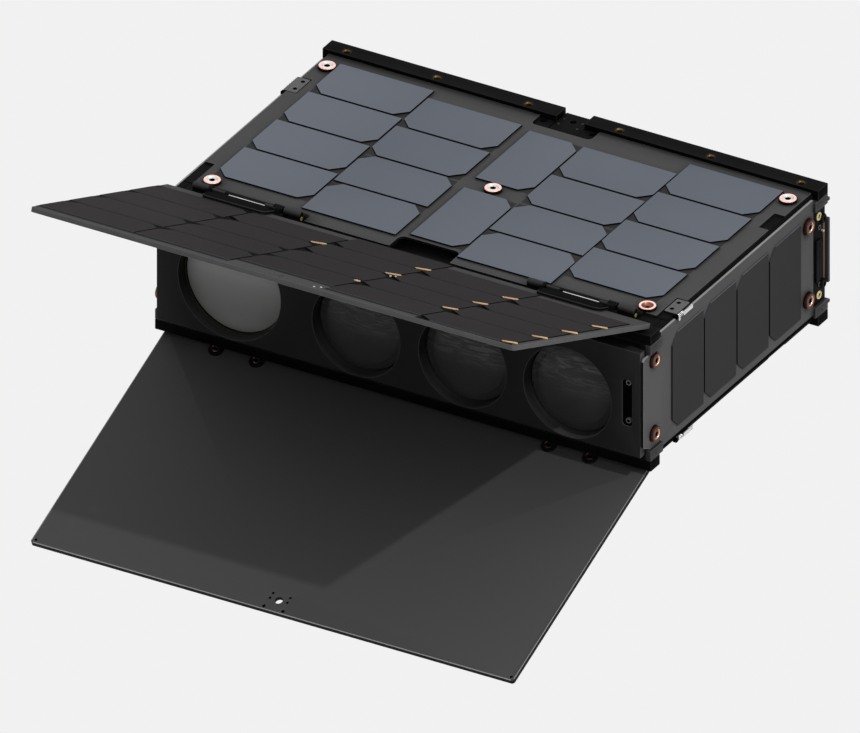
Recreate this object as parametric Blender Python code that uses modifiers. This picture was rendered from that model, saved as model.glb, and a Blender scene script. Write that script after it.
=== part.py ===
"""A small flat box satellite with four apertures in its front and two solar flaps on spring hinges.

Metres, +Z up. The origin is the centre of the body. X runs along the long side, and the
apertures look along -Y. Everything above the mid plane Z = 0 is repeated below it.
"""

from math import cos, pi, radians, sin

import bmesh
import bpy
from mathutils import Matrix, Vector

MM = 0.001

# Two sizes drive the body. The bores are shares of its length, and its height follows from them.
BODY_LENGTH = 366.0 * MM
BODY_DEPTH = 226.3 * MM
LARGE_BORE_RADIUS = 0.10328 * BODY_LENGTH
SMALL_BORE_RADIUS = 0.08852 * BODY_LENGTH
SEAT_GAP = 0.3 * MM

# Frame
RAIL_WIDTH = 12.25 * MM
RAIL_HEIGHT = 7.3 * MM
FRONT_RAIL_WIDTH = 11.5 * MM
LEDGE_DEPTH = 5.5 * MM
END_FRAME_THICKNESS = 5.0 * MM
CORNER_BLOCK_HEIGHT = 7.1 * MM
CORNER_BLOCK_LENGTH = 15.4 * MM

# Countersunk holes of the rear rails
RAIL_HOLE_RADIUS = 1.7 * MM
RAIL_SINK_RADIUS = 3.2 * MM
RAIL_SINK_DEPTH = 1.9 * MM
RAIL_HOLE_FROM_FRONT = 4.6 * MM

# Front housing: its wall above the large bore, its lip, its steps and its connector slot
HOUSING_WALL = 0.8 * MM
HOUSING_LIP = 3.8 * MM
HOUSING_PROUD = 5.65 * MM
HOUSING_NECK_FRONT = 5.3 * MM
HOUSING_NECK_BACK = 10.8 * MM
HOUSING_THICKNESS = 20.8 * MM
HOUSING_END_INSET = 4.5 * MM
HOUSING_BEVEL = 0.8 * MM
BORE_DEPTH = 16.0 * MM
SLOT_FROM_END = 9.8 * MM
SLOT_WIDTH = 7.0 * MM
SLOT_HEIGHT = 33.8 * MM
SLOT_DEPTH = 3.5 * MM

# Board panels on the top, the bottom and the ends
PANEL_THICKNESS = 1.6 * MM
PANEL_DROP = 2.5 * MM
PANEL_END_INSET = 5.0 * MM
FRONT_FLANGE = 28.65 * MM
SIDE_NOTCH_DEPTH = 7.5 * MM
SIDE_NOTCH_FROM_REAR = 34.1 * MM
SIDE_NOTCH_LENGTH = 20.5 * MM
CORNER_NOTCH_LENGTH = 26.5 * MM
REAR_CUTOUT_HALF = 22.0 * MM
REAR_CUTOUT_DEPTH = 12.4 * MM
FRONT_CUTOUT_HALF = 22.3 * MM
FRONT_CUTOUT_DEPTH = 7.5 * MM
FRONT_LIP = 7.8 * MM
CUTOUT_RADIUS = 3.5 * MM

# End panels, which reach past the front rails with a narrower tongue
END_PANEL_INSET = 1.8 * MM
END_PANEL_TOP_DROP = 5.25 * MM
END_PANEL_FOOT_RISE = 7.8 * MM
END_PANEL_REAR_GAP = 15.75 * MM
END_PANEL_SHOULDER = 16.05 * MM
TONGUE_PROUD = 6.35 * MM
TONGUE_CHAMFER = 5.0 * MM
LEFT_TONGUE_SHORTER = 6.5 * MM
END_CELL_FROM_SHOULDER = 13.4 * MM
END_CELL_SPACE = 1.9 * MM

# Solar cells: long side along the body, with two cropped corners on one long side
CELL_LENGTH = 0.1896 * BODY_LENGTH
CELL_WIDTH = 0.175 * BODY_DEPTH
TURNED_LENGTH = 0.3067 * BODY_DEPTH
TURNED_WIDTH = 0.1082 * BODY_LENGTH
CELL_CROP = 8.0 * MM
CELL_PROUD = 0.3 * MM
CELL_SUNK = 0.4 * MM
CELL_SPACE = 1.3 * MM
FLAP_CELL_SPACE = 1.73 * MM

# Copper grounding bushings
BUSHING_RADIUS = 5.5 * MM
BUSHING_HEIGHT = 2.0 * MM
BUSHING_BORE = 3.9 * MM
BUSHING_BORE_LOW = 2.2 * MM
BUSHING_FLOOR = 0.4 * MM
BUSHING_FROM_END = 8.0 * MM
BUSHING_FROM_REAR = 16.1 * MM
FRONT_BUSHING_FROM_END = 17.4 * MM
FRONT_BUSHING_FROM_FRONT = 5.9 * MM
END_BUSHING_FROM_REAR = 7.5 * MM
END_BUSHING_FROM_TONGUE = 13.0 * MM
END_BUSHING_UP = 28.9 * MM
END_BUSHING_DOWN = 25.3 * MM

# Solar flaps, folded out at 22 degrees, and their hinges
FLAP_TILT = radians(22.0)
HINGE_FROM_FRONT = 18.15 * MM
HINGE_ABOVE_BODY = 2.9 * MM
FLAP_END_INSET = 4.8 * MM
FLAP_START = 10.04 * MM
FLAP_REACH = 0.8325 * BODY_DEPTH
FLAP_BELOW_AXIS = 2.65 * MM
FLAP_THICKNESS = 3.1 * MM
FLAP_CORNER_RADIUS = 2.0 * MM
FLAP_HOLE_RADIUS = 2.8 * MM
FLAP_HOLE_FROM_EDGE = 10.0 * MM
FLAP_PINHOLE_RADIUS = 1.0 * MM
FLAP_PINHOLE_INSET = 2.9 * MM
HINGE_LENGTH = 79.3 * MM
KNUCKLE_RADIUS = 2.6 * MM
LEAF_KNUCKLE_RADIUS = 2.0 * MM
PIN_RADIUS = 1.1 * MM
PIN_CLEARANCE = 0.25 * MM
PIN_SHORT = 1.0 * MM
HINGE_FOOT_THICKNESS = 2.4 * MM
LEAF_THICKNESS = 2.0 * MM
LEAF_REACH = 18.4 * MM
LEAF_CLEAR_OF_SPRING = 8.2 * MM
LEAF_CORNER_RADIUS = 4.5 * MM

# Rear closing panel, closed electronics stack, hold-downs, edge clips and end ports
REAR_PANEL_THICKNESS = 2.25 * MM
REAR_TAB_LIP = 3.7 * MM
REAR_NOTCH_LIP = 5.9 * MM
REAR_NOTCH_HEIGHT = 12.9 * MM
REAR_NOTCH_DEPTH = 3.7 * MM
STACK_END_INSET = 33.0 * MM
STACK_WALL_GAP = 6.7 * MM
HOLD_DOWN_EDGE = 10.3 * MM
HOLD_DOWN_DROP = 3.6 * MM
HOLD_DOWN_HOLE = 2.4 * MM
CLIP_LENGTH = 19.0 * MM
CLIP_PROUD = 0.5 * MM
CLIP_LEAF_INSET = 0.6 * MM
CLIP_LEAF_THICKNESS = 0.9 * MM
CLIP_LEAF_DROP = 7.0 * MM
PORT_LOW_INSET = 15.1 * MM
PORT_PLATE = 1.2 * MM
PORT_BODY_PROUD = 3.0 * MM
PORT_BODY_INSET = 34.0 * MM
PORT_BODY_DEPTH = 10.0 * MM

ROUND_STEPS = 24
LENS_STEPS = 48

# Worked out from the sizes above
HALF_LENGTH = BODY_LENGTH / 2
HALF_DEPTH = BODY_DEPTH / 2
HOUSING_HALF_HEIGHT = LARGE_BORE_RADIUS + HOUSING_WALL
BLOCK_TOP = HOUSING_HALF_HEIGHT + HOUSING_LIP
RAIL_BOTTOM = BLOCK_TOP + SEAT_GAP
HALF_HEIGHT = RAIL_BOTTOM + RAIL_HEIGHT
BODY_HEIGHT = 2 * HALF_HEIGHT
UPRIGHT_HEIGHT = 0.694 * BODY_HEIGHT
REAR_RAIL_FRONT = HALF_DEPTH - RAIL_WIDTH
FRONT_RAIL_BACK = FRONT_RAIL_WIDTH - HALF_DEPTH
PANEL_HALF_LENGTH = HALF_LENGTH - PANEL_END_INSET
PANEL_TOP = HALF_HEIGHT - PANEL_DROP
PANEL_BOTTOM = PANEL_TOP - PANEL_THICKNESS
PANEL_REAR = REAR_RAIL_FRONT - SEAT_GAP
PANEL_FRONT = FRONT_FLANGE - HALF_DEPTH
LIP_FRONT = PANEL_FRONT - FRONT_LIP
SIDE_NOTCH_REAR = PANEL_REAR - SIDE_NOTCH_FROM_REAR
LEDGE_TOP = PANEL_BOTTOM - SEAT_GAP
END_PANEL_OUTER = HALF_LENGTH - END_PANEL_INSET
END_PANEL_INNER = END_PANEL_OUTER - PANEL_THICKNESS
END_PANEL_FRONT = END_PANEL_SHOULDER - HALF_DEPTH
END_PANEL_REAR = HALF_DEPTH - END_PANEL_REAR_GAP
END_PANEL_TOP = HALF_HEIGHT - END_PANEL_TOP_DROP
END_PANEL_BOTTOM = END_PANEL_FOOT_RISE - HALF_HEIGHT
END_FRAME_OUTER = END_PANEL_INNER - SEAT_GAP
END_FRAME_INNER = END_FRAME_OUTER - END_FRAME_THICKNESS
LEDGE_HALF_LENGTH = END_FRAME_INNER - SEAT_GAP
BLOCK_LOW = BLOCK_TOP - CORNER_BLOCK_HEIGHT
TONGUE_HALF_HEIGHT = BLOCK_LOW - 2 * SEAT_GAP
TONGUE_FRONT = -HALF_DEPTH - TONGUE_PROUD
HOUSING_FRONT = -HALF_DEPTH - HOUSING_PROUD
HOUSING_HALF_LENGTH = HALF_LENGTH - HOUSING_END_INSET
HOUSING_BACK = HOUSING_FRONT + HOUSING_THICKNESS
SLOT_CENTRE = HOUSING_HALF_LENGTH - SLOT_FROM_END
REAR_NOTCH_HIGH = BLOCK_TOP - REAR_NOTCH_LIP
REAR_NOTCH_LOW = REAR_NOTCH_HIGH - REAR_NOTCH_HEIGHT
REAR_PANEL_OUTER = HALF_DEPTH + SEAT_GAP + REAR_PANEL_THICKNESS
HINGE_Y = HINGE_FROM_FRONT - HALF_DEPTH
HINGE_Z = HALF_HEIGHT + HINGE_ABOVE_BODY
FLAP_HALF_LENGTH = HALF_LENGTH - FLAP_END_INSET
HOLD_DOWN_TOP = HALF_HEIGHT - HOLD_DOWN_DROP
CLIP_LEAF_OUTER = HALF_LENGTH - CLIP_LEAF_INSET
CLIP_LEAF_END = HALF_HEIGHT - CLIP_LEAF_DROP
PORT_HALF_HEIGHT = HALF_HEIGHT - PORT_LOW_INSET
PORT_BODY_HALF = HALF_HEIGHT - PORT_BODY_INSET
PORT_BODY_OUTER = END_PANEL_INNER + PORT_BODY_PROUD

# Shares of half the length: bolt holes along a rear rail, the left ends of the two hinges
RAIL_HOLES = (0.1836, 0.5519, 0.9158)
HINGE_LEFTS = (-0.8995 * HALF_LENGTH, 0.4481 * HALF_LENGTH)
# Shares of a hinge's length: knuckles of the base, knuckles of the leaf, the leaf's plate
BASE_KNUCKLES = ((0.0, 0.139), (0.842, 1.0))
LEAF_KNUCKLES = ((0.145, 0.293), (0.668, 0.836))
LEAF_PLATE = (0.208, 0.776)

# Cell columns of the top panel: left end and rear edge as shares of the body's length and depth,
# then for each row whether its cropped corners face the front
TOP_COLUMNS = (
    (-0.4489, 0.4070, (True, True, True, True)),
    (-0.2566, 0.3641, (True, True, False, False)),
    (0.0637, 0.3442, (True, True, False, False)),
    (0.2546, 0.4096, (True, True, True, True)),
)
# The two cells turned along the panel's middle: left edge and front end, as the same shares
TURNED_CELLS = ((-0.0464, 0.0393), (-0.0464, -0.3292))

# Cell columns of a flap: left end as a share of the body's length, hinge-side edge of the first
# row as a share of its depth, and for each row whether its crops face the free side
FLAP_COLUMNS = (
    (-0.4863, 0.0557, (False, False, False, False)),
    (-0.2934, 0.0557, (True, False, False, False)),
    (-0.1003, 0.0031, (True, True, False, False)),
    (0.0929, 0.0561, (True, True, True, False)),
    (0.2861, 0.0950, (True, True, True, True)),
)

# Bushings of the top panel as (X, Y) and of an end panel as (Y, Z)
TOP_BUSHINGS = (
    (BUSHING_FROM_END - PANEL_HALF_LENGTH, PANEL_REAR - BUSHING_FROM_REAR),
    (PANEL_HALF_LENGTH - BUSHING_FROM_END, PANEL_REAR - BUSHING_FROM_REAR),
    (0.0, 0.009 * BODY_DEPTH),
    (FRONT_BUSHING_FROM_END - PANEL_HALF_LENGTH, PANEL_FRONT + FRONT_BUSHING_FROM_FRONT),
    (PANEL_HALF_LENGTH - FRONT_BUSHING_FROM_END, PANEL_FRONT + FRONT_BUSHING_FROM_FRONT),
)
END_BUSHINGS = (
    (END_PANEL_REAR - END_BUSHING_FROM_REAR, END_BUSHING_UP),
    (END_PANEL_REAR - END_BUSHING_FROM_REAR, -END_BUSHING_DOWN),
    (TONGUE_FRONT + END_BUSHING_FROM_TONGUE, END_BUSHING_UP),
    (TONGUE_FRONT + END_BUSHING_FROM_TONGUE, -END_BUSHING_DOWN),
)

# Lenses: X and drop below the middle as shares of the body's length, bore radius, how deep the
# barrel's face lies, the width of that face, and how far the glass domes
LENSES = (
    (-0.3412, 0.0, LARGE_BORE_RADIUS, 6.0 * MM, 2.6 * MM, 1.2 * MM),
    (-0.0855, 0.0150, SMALL_BORE_RADIUS, 9.0 * MM, 1.2 * MM, 4.5 * MM),
    (0.1290, 0.0150, SMALL_BORE_RADIUS, 9.0 * MM, 1.2 * MM, 4.5 * MM),
    (0.3408, 0.0150, SMALL_BORE_RADIUS, 9.0 * MM, 1.2 * MM, 4.5 * MM),
)

# Material name: colour, roughness, metallic
FINISHES = {
    "black_anodised": ((0.012, 0.012, 0.013), 0.45, 0.6),
    "grey_frame": ((0.07, 0.07, 0.072), 0.5, 0.6),
    "panel_board": ((0.075, 0.075, 0.075), 0.55, 0.1),
    "lens_glass": ((0.05, 0.05, 0.055), 0.08, 0.0),
    "spring_steel": ((0.5, 0.5, 0.5), 0.3, 1.0),
    "avionics": ((0.2, 0.2, 0.21), 0.5, 0.5),
}


def clear_scene():
    for old in list(bpy.data.objects):
        bpy.data.objects.remove(old)


def new_collection(name):
    made = bpy.data.collections.new(name)
    bpy.context.scene.collection.children.link(made)
    return made


def make_material(name):
    colour, roughness, metallic = FINISHES[name]
    made = bpy.data.materials.new(name)
    made.use_nodes = True
    shader = made.node_tree.nodes["Principled BSDF"]
    shader.inputs["Base Color"].default_value = (*colour, 1.0)
    shader.inputs["Roughness"].default_value = roughness
    shader.inputs["Metallic"].default_value = metallic
    return made


clear_scene()
PARTS = new_collection("small_satellite")
CUTTERS = new_collection("cutters")
MATERIALS = {name: make_material(name) for name in FINISHES}


def add_part(name, mesh, finish, parent=None):
    """A named sub-part from a mesh, with its material."""
    made = bpy.data.objects.new(name, mesh)
    mesh.materials.clear()
    mesh.materials.append(MATERIALS[finish])
    PARTS.objects.link(made)
    made.parent = parent
    return made


def box(low, high):
    """A box mesh between two corners, given in any order."""
    low, high = Vector(low), Vector(high)
    shape = bmesh.new()
    bmesh.ops.create_cube(shape, size=1.0)
    size = Vector([abs(b - a) for a, b in zip(low, high)])
    middle = (low + high) / 2
    place = Matrix.Translation(middle) @ Matrix.Diagonal((*size, 1))
    bmesh.ops.transform(shape, matrix=place, verts=shape.verts)
    return to_mesh(shape)


def to_mesh(shape, smooth=False):
    mesh = bpy.data.meshes.new("shape")
    bmesh.ops.recalc_face_normals(shape, faces=shape.faces)
    shape.to_mesh(mesh)
    shape.free()
    if smooth:
        mesh.shade_smooth()
        mesh.set_sharp_from_angle(angle=radians(35))
    return mesh


def axis_turn(axis):
    """The turn that takes +Z to the given axis letter."""
    if axis == "X":
        return Matrix.Rotation(pi / 2, 4, "Y")
    if axis == "Y":
        return Matrix.Rotation(-pi / 2, 4, "X")
    return Matrix.Identity(4)


def cone(centre, radius_low, radius_high, length, axis="Z", steps=ROUND_STEPS):
    """A cylinder or cone centred on a point; radius_high is at the axis's positive end."""
    shape = bmesh.new()
    bmesh.ops.create_cone(
        shape, cap_ends=True, segments=steps, radius1=radius_low, radius2=radius_high, depth=length
    )
    bmesh.ops.transform(shape, matrix=Matrix.Translation(centre) @ axis_turn(axis), verts=shape.verts)
    return to_mesh(shape, smooth=True)


def outline_plate(points, low, high, axis="Z"):
    """A flat plate with the given outline, filled as a 2D curve, between two heights along an axis.

    Along X the outline's points are (Y, Z), along Y they are (X, Z), along Z they are (X, Y).
    """
    curve = bpy.data.curves.new("outline", "CURVE")
    curve.dimensions = "2D"
    curve.fill_mode = "BOTH"
    curve.extrude = abs(high - low) / 2
    line = curve.splines.new("POLY")
    line.points.add(len(points) - 1)
    for point, (across, along) in zip(line.points, points):
        point.co = (across, along, 0.0, 1.0)
    line.use_cyclic_u = True
    guide = bpy.data.objects.new("outline", curve)
    PARTS.objects.link(guide)
    bpy.context.view_layer.update()
    mesh = bpy.data.meshes.new_from_object(guide.evaluated_get(bpy.context.evaluated_depsgraph_get()))
    bpy.data.objects.remove(guide)
    bpy.data.curves.remove(curve)
    shape = bmesh.new()
    shape.from_mesh(mesh)
    bmesh.ops.remove_doubles(shape, verts=shape.verts, dist=1e-6)
    middle = (low + high) / 2
    turns = {
        "X": Matrix(((0, 0, 1, middle), (1, 0, 0, 0), (0, 1, 0, 0), (0, 0, 0, 1))),
        "Y": Matrix(((1, 0, 0, 0), (0, 0, 1, middle), (0, 1, 0, 0), (0, 0, 0, 1))),
        "Z": Matrix.Translation((0, 0, middle)),
    }
    bmesh.ops.transform(shape, matrix=turns[axis], verts=shape.verts)
    return to_mesh(shape)


def rounded(corners, radius, steps=5):
    """The corners of an outline replaced by arcs of one radius; a corner with radius 0 stays."""
    made = []
    for index, corner in enumerate(corners):
        here = Vector(corner[:2])
        size = corner[2] if len(corner) > 2 else radius
        before = (Vector(corners[index - 1][:2]) - here).normalized()
        after = (Vector(corners[(index + 1) % len(corners)][:2]) - here).normalized()
        if size == 0:
            made.append(tuple(here))
            continue
        opening = before.angle(after)
        reach = size / max(1e-9, abs(sin(opening / 2) / cos(opening / 2)))
        centre = here + (before + after).normalized() * (size / sin(opening / 2))
        start = here + before * reach - centre
        sweep = (here + after * reach - centre).angle_signed(start)
        for step in range(steps + 1):
            turn = Matrix.Rotation(sweep * step / steps, 2)
            made.append(tuple(centre + turn @ start))
    return made


def joined(meshes):
    """Several meshes as one mesh of separate shells."""
    shape = bmesh.new()
    for mesh in meshes:
        shape.from_mesh(mesh)
    return to_mesh(shape, smooth=False)


def helper(name, mesh):
    made = bpy.data.objects.new(name, mesh)
    made.hide_render = True
    made.display_type = "WIRE"
    CUTTERS.objects.link(made)
    return made


def combine(part, meshes, operation, label):
    """Cuts shapes from a part, or joins them to it, in one Boolean."""
    other = helper(f"{part.name}_{label}", joined(meshes))
    other.parent = part.parent
    step = part.modifiers.new(label, "BOOLEAN")
    step.operation = operation
    step.solver = "EXACT"
    step.object = other


def cut(part, meshes, label="cut"):
    combine(part, meshes, "DIFFERENCE", label)


def unite(part, meshes, label="join"):
    combine(part, meshes, "UNION", label)


def bevel_edges(part, width, segments=1):
    step = part.modifiers.new("edges", "BEVEL")
    step.width = width
    step.segments = segments
    step.limit_method = "ANGLE"
    step.angle_limit = radians(50)


def make_rear_rails(side, level):
    """Two half rails with countersunk bolt holes, and the ledge that carries the panel."""
    for end, word in ((-1, "left"), (1, "right")):
        bar = box(
            (end * HOLD_DOWN_EDGE, REAR_RAIL_FRONT, side * RAIL_BOTTOM),
            (end * HALF_LENGTH, HALF_DEPTH, side * HALF_HEIGHT),
        )
        rail = add_part(f"rear_{level}_rail_{word}", bar, "black_anodised")
        ledge = box(
            (end * (REAR_CUTOUT_HALF + SEAT_GAP), REAR_RAIL_FRONT - LEDGE_DEPTH, side * RAIL_BOTTOM),
            (end * LEDGE_HALF_LENGTH, REAR_RAIL_FRONT + SEAT_GAP, side * LEDGE_TOP),
        )
        unite(rail, [ledge], "ledge")
        sinks = []
        for place in RAIL_HOLES:
            centre_x = end * place * HALF_LENGTH
            hole_y = REAR_RAIL_FRONT + RAIL_HOLE_FROM_FRONT
            through = (centre_x, hole_y, side * (HALF_HEIGHT - RAIL_HEIGHT / 2))
            sink = (centre_x, hole_y, side * (HALF_HEIGHT - RAIL_SINK_DEPTH / 2 + SEAT_GAP))
            sinks.append(cone(through, RAIL_HOLE_RADIUS, RAIL_HOLE_RADIUS, 2 * RAIL_HEIGHT, steps=16))
            low, high = (RAIL_HOLE_RADIUS, RAIL_SINK_RADIUS)[::side]
            sinks.append(cone(sink, low, high, RAIL_SINK_DEPTH + 2 * SEAT_GAP, steps=16))
        for index, tool in enumerate(sinks):
            cut(rail, [tool], f"hole_{index}")


def make_front_rail(side, level):
    """The front rail, with the flange that carries the panel's front edge and the hinges."""
    bar = box(
        (-HALF_LENGTH, -HALF_DEPTH, side * RAIL_BOTTOM),
        (HALF_LENGTH, FRONT_RAIL_BACK, side * HALF_HEIGHT),
    )
    rail = add_part(f"front_{level}_rail", bar, "black_anodised")
    flange = box(
        (-LEDGE_HALF_LENGTH, FRONT_RAIL_BACK - SEAT_GAP, side * RAIL_BOTTOM),
        (LEDGE_HALF_LENGTH, PANEL_FRONT + 1.3 * LEDGE_DEPTH, side * LEDGE_TOP),
    )
    unite(rail, [flange], "flange")
    gap = box(
        (-FRONT_CUTOUT_HALF, LIP_FRONT - SEAT_GAP, side * (RAIL_BOTTOM - 2 * MM)),
        (FRONT_CUTOUT_HALF, PANEL_FRONT + 2 * LEDGE_DEPTH, side * (LEDGE_TOP + 1 * MM)),
    )
    cut(rail, [gap], "gap")


def make_end_frame(end, word):
    """An upright end plate with four corner blocks that stand out between rail and end panel."""
    inner, outer = end * END_FRAME_INNER, end * END_FRAME_OUTER
    plate = box((inner, -HALF_DEPTH, -BLOCK_TOP), (outer, HALF_DEPTH, BLOCK_TOP))
    frame = add_part(f"{word}_end_frame", plate, "grey_frame")
    edge = box(
        (inner, FRONT_RAIL_BACK + SEAT_GAP, -LEDGE_TOP),
        (outer, REAR_RAIL_FRONT - SEAT_GAP, LEDGE_TOP),
    )
    unite(frame, [edge], "edge")
    blocks = []
    root, start = end * (END_FRAME_OUTER - 0.5 * MM), HALF_DEPTH - CORNER_BLOCK_LENGTH
    for side in (-1, 1):
        for front in (-1, 1):
            corner = (end * HALF_LENGTH, front * HALF_DEPTH, side * BLOCK_TOP)
            blocks.append(box((root, front * start, side * BLOCK_LOW), corner))
    unite(frame, blocks, "blocks")


def cell_shape(left, front, size_x, size_y, crops):
    """The outline of one cell; crops names the side that has its two cropped corners."""
    right, rear = left + size_x, front + size_y
    if crops == "front":
        ends = [(left, rear), (left, front + CELL_CROP), (left + CELL_CROP, front)]
        return ends + [(right - CELL_CROP, front), (right, front + CELL_CROP), (right, rear)]
    if crops == "rear":
        ends = [(left, front), (right, front), (right, rear - CELL_CROP)]
        return ends + [(right - CELL_CROP, rear), (left + CELL_CROP, rear), (left, rear - CELL_CROP)]
    ends = [(left, front), (right - CELL_CROP, front), (right, front + CELL_CROP)]
    return ends + [(right, rear - CELL_CROP), (right - CELL_CROP, rear), (left, rear)]


def panel_outline():
    """The outline of the top panel, going round once: front and rear cutouts, a lip between the hinges."""
    lip_ends = ((1, HINGE_LEFTS[1] - SEAT_GAP), (-1, HINGE_LEFTS[0] + HINGE_LENGTH + SEAT_GAP))
    halves = []
    for end, lip_end in lip_ends:
        halves.append(
            [
                (end * FRONT_CUTOUT_HALF, LIP_FRONT, 0),
                (lip_end, LIP_FRONT, 0),
                (lip_end, PANEL_FRONT, 0),
                (end * PANEL_HALF_LENGTH, PANEL_FRONT, 0),
                (end * PANEL_HALF_LENGTH, PANEL_REAR, 0),
                (end * REAR_CUTOUT_HALF, PANEL_REAR, 0),
                (end * REAR_CUTOUT_HALF, PANEL_REAR - REAR_CUTOUT_DEPTH),
            ]
        )
    right, left = halves
    front_depth = PANEL_FRONT + FRONT_CUTOUT_DEPTH
    front = [(-FRONT_CUTOUT_HALF, front_depth), (FRONT_CUTOUT_HALF, front_depth)]
    return rounded(right + left[::-1] + front, CUTOUT_RADIUS)


def panel_notches(side):
    """The notches of the panel's two ends: one at each front corner and one further back."""
    notches = []
    spans = (
        (PANEL_FRONT - 5 * MM, PANEL_FRONT + CORNER_NOTCH_LENGTH),
        (SIDE_NOTCH_REAR - SIDE_NOTCH_LENGTH, SIDE_NOTCH_REAR),
    )
    for end in (-1, 1):
        for low_y, high_y in spans:
            notches.append(
                box(
                    (end * (PANEL_HALF_LENGTH - SIDE_NOTCH_DEPTH), low_y, side * (PANEL_BOTTOM - 2 * MM)),
                    (end * (PANEL_HALF_LENGTH + 5 * MM), high_y, side * (PANEL_TOP + 2 * MM)),
                )
            )
    return notches


def top_cells():
    """The outlines of the 18 cells of the top panel."""
    cells = []
    for left, rear, fronts in TOP_COLUMNS:
        for row, faces_front in enumerate(fronts):
            front = rear * BODY_DEPTH - row * (CELL_WIDTH + CELL_SPACE) - CELL_WIDTH
            side = "front" if faces_front else "rear"
            cells.append(cell_shape(left * BODY_LENGTH, front, CELL_LENGTH, CELL_WIDTH, side))
    for left, front in TURNED_CELLS:
        cells.append(cell_shape(left * BODY_LENGTH, front * BODY_DEPTH, TURNED_WIDTH, TURNED_LENGTH, "right"))
    return cells


def bushing(centre, axis, facing, base):
    """The solid boss and the tapered bore of one bushing, standing from a face along an axis."""
    index = "XYZ".index(axis)
    middle = list(centre)
    sunk = 0.5 * MM
    middle[index] = base + facing * (BUSHING_HEIGHT - sunk) / 2
    boss = cone(middle, BUSHING_RADIUS, BUSHING_RADIUS, BUSHING_HEIGHT + sunk, axis)
    depth = BUSHING_HEIGHT - BUSHING_FLOOR
    middle[index] = base + facing * (BUSHING_HEIGHT - depth / 2 + 0.1 * MM)
    low, high = (BUSHING_BORE_LOW, BUSHING_BORE)[::facing]
    bore = cone(middle, low, high, depth + 0.2 * MM, axis)
    return boss, bore


def make_board_panel(side, level):
    """The top or bottom panel with its solar cells and bushings."""
    plate = outline_plate(panel_outline(), side * PANEL_BOTTOM, side * PANEL_TOP)
    panel = add_part(f"{level}_panel", plate, "panel_board")
    cut(panel, panel_notches(side), "notches")
    low, high = side * (PANEL_TOP - CELL_SUNK), side * (PANEL_TOP + CELL_PROUD)
    unite(panel, [outline_plate(cell, low, high) for cell in top_cells()], "cells")
    pairs = [bushing((x, y, 0), "Z", side, side * PANEL_TOP) for x, y in TOP_BUSHINGS]
    unite(panel, [boss for boss, bore in pairs], "bushings")
    cut(panel, [bore for boss, bore in pairs], "bores")


def make_end_panel(end, word):
    """An end panel: four upright cells, and a tongue that runs forward between the corner blocks."""
    front = TONGUE_FRONT if end > 0 else TONGUE_FRONT + LEFT_TONGUE_SHORTER
    outline = [
        (END_PANEL_REAR, END_PANEL_BOTTOM),
        (END_PANEL_REAR, END_PANEL_TOP),
        (END_PANEL_FRONT, END_PANEL_TOP),
        (END_PANEL_FRONT, TONGUE_HALF_HEIGHT),
        (front, TONGUE_HALF_HEIGHT),
        (front, TONGUE_CHAMFER - TONGUE_HALF_HEIGHT),
        (front + 1.6 * TONGUE_CHAMFER, -TONGUE_HALF_HEIGHT),
        (END_PANEL_FRONT, -TONGUE_HALF_HEIGHT),
        (END_PANEL_FRONT, END_PANEL_BOTTOM),
    ]
    plate = outline_plate(outline, end * END_PANEL_INNER, end * END_PANEL_OUTER, "X")
    panel = add_part(f"{word}_end_panel", plate, "panel_board")
    low, high = end * (END_PANEL_OUTER - CELL_SUNK), end * (END_PANEL_OUTER + CELL_PROUD)
    cells = []
    for column in range(4):
        start = END_PANEL_FRONT + END_CELL_FROM_SHOULDER + column * (CELL_WIDTH + END_CELL_SPACE)
        upright = cell_shape(-UPRIGHT_HEIGHT / 2, start, UPRIGHT_HEIGHT, CELL_WIDTH, "front")
        outline = [(y, z) for z, y in upright]
        cells.append(outline_plate(outline, low, high, "X"))
    unite(panel, cells, "cells")
    pairs = [bushing((0, y, z), "X", end, end * END_PANEL_OUTER) for y, z in END_BUSHINGS]
    unite(panel, [boss for boss, bore in pairs], "bushings")
    cut(panel, [bore for boss, bore in pairs], "bores")


def make_rear_panel():
    """The rear closing panel, which is notched at its ends beside the ports."""
    notch = HALF_LENGTH - REAR_NOTCH_DEPTH
    quarter = [
        (HALF_LENGTH, REAR_NOTCH_LOW),
        (notch, REAR_NOTCH_LOW),
        (notch, REAR_NOTCH_HIGH),
        (HALF_LENGTH, REAR_NOTCH_HIGH),
        (HALF_LENGTH, BLOCK_TOP - REAR_TAB_LIP),
        (PANEL_HALF_LENGTH, BLOCK_TOP - REAR_TAB_LIP),
        (PANEL_HALF_LENGTH, BLOCK_TOP),
    ]
    top = quarter + [(-x, z) for x, z in reversed(quarter)]
    outline = top + [(-x, -z) for x, z in top]
    add_part("rear_panel", outline_plate(outline, HALF_DEPTH + SEAT_GAP, REAR_PANEL_OUTER, "Y"), "grey_frame")


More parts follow.
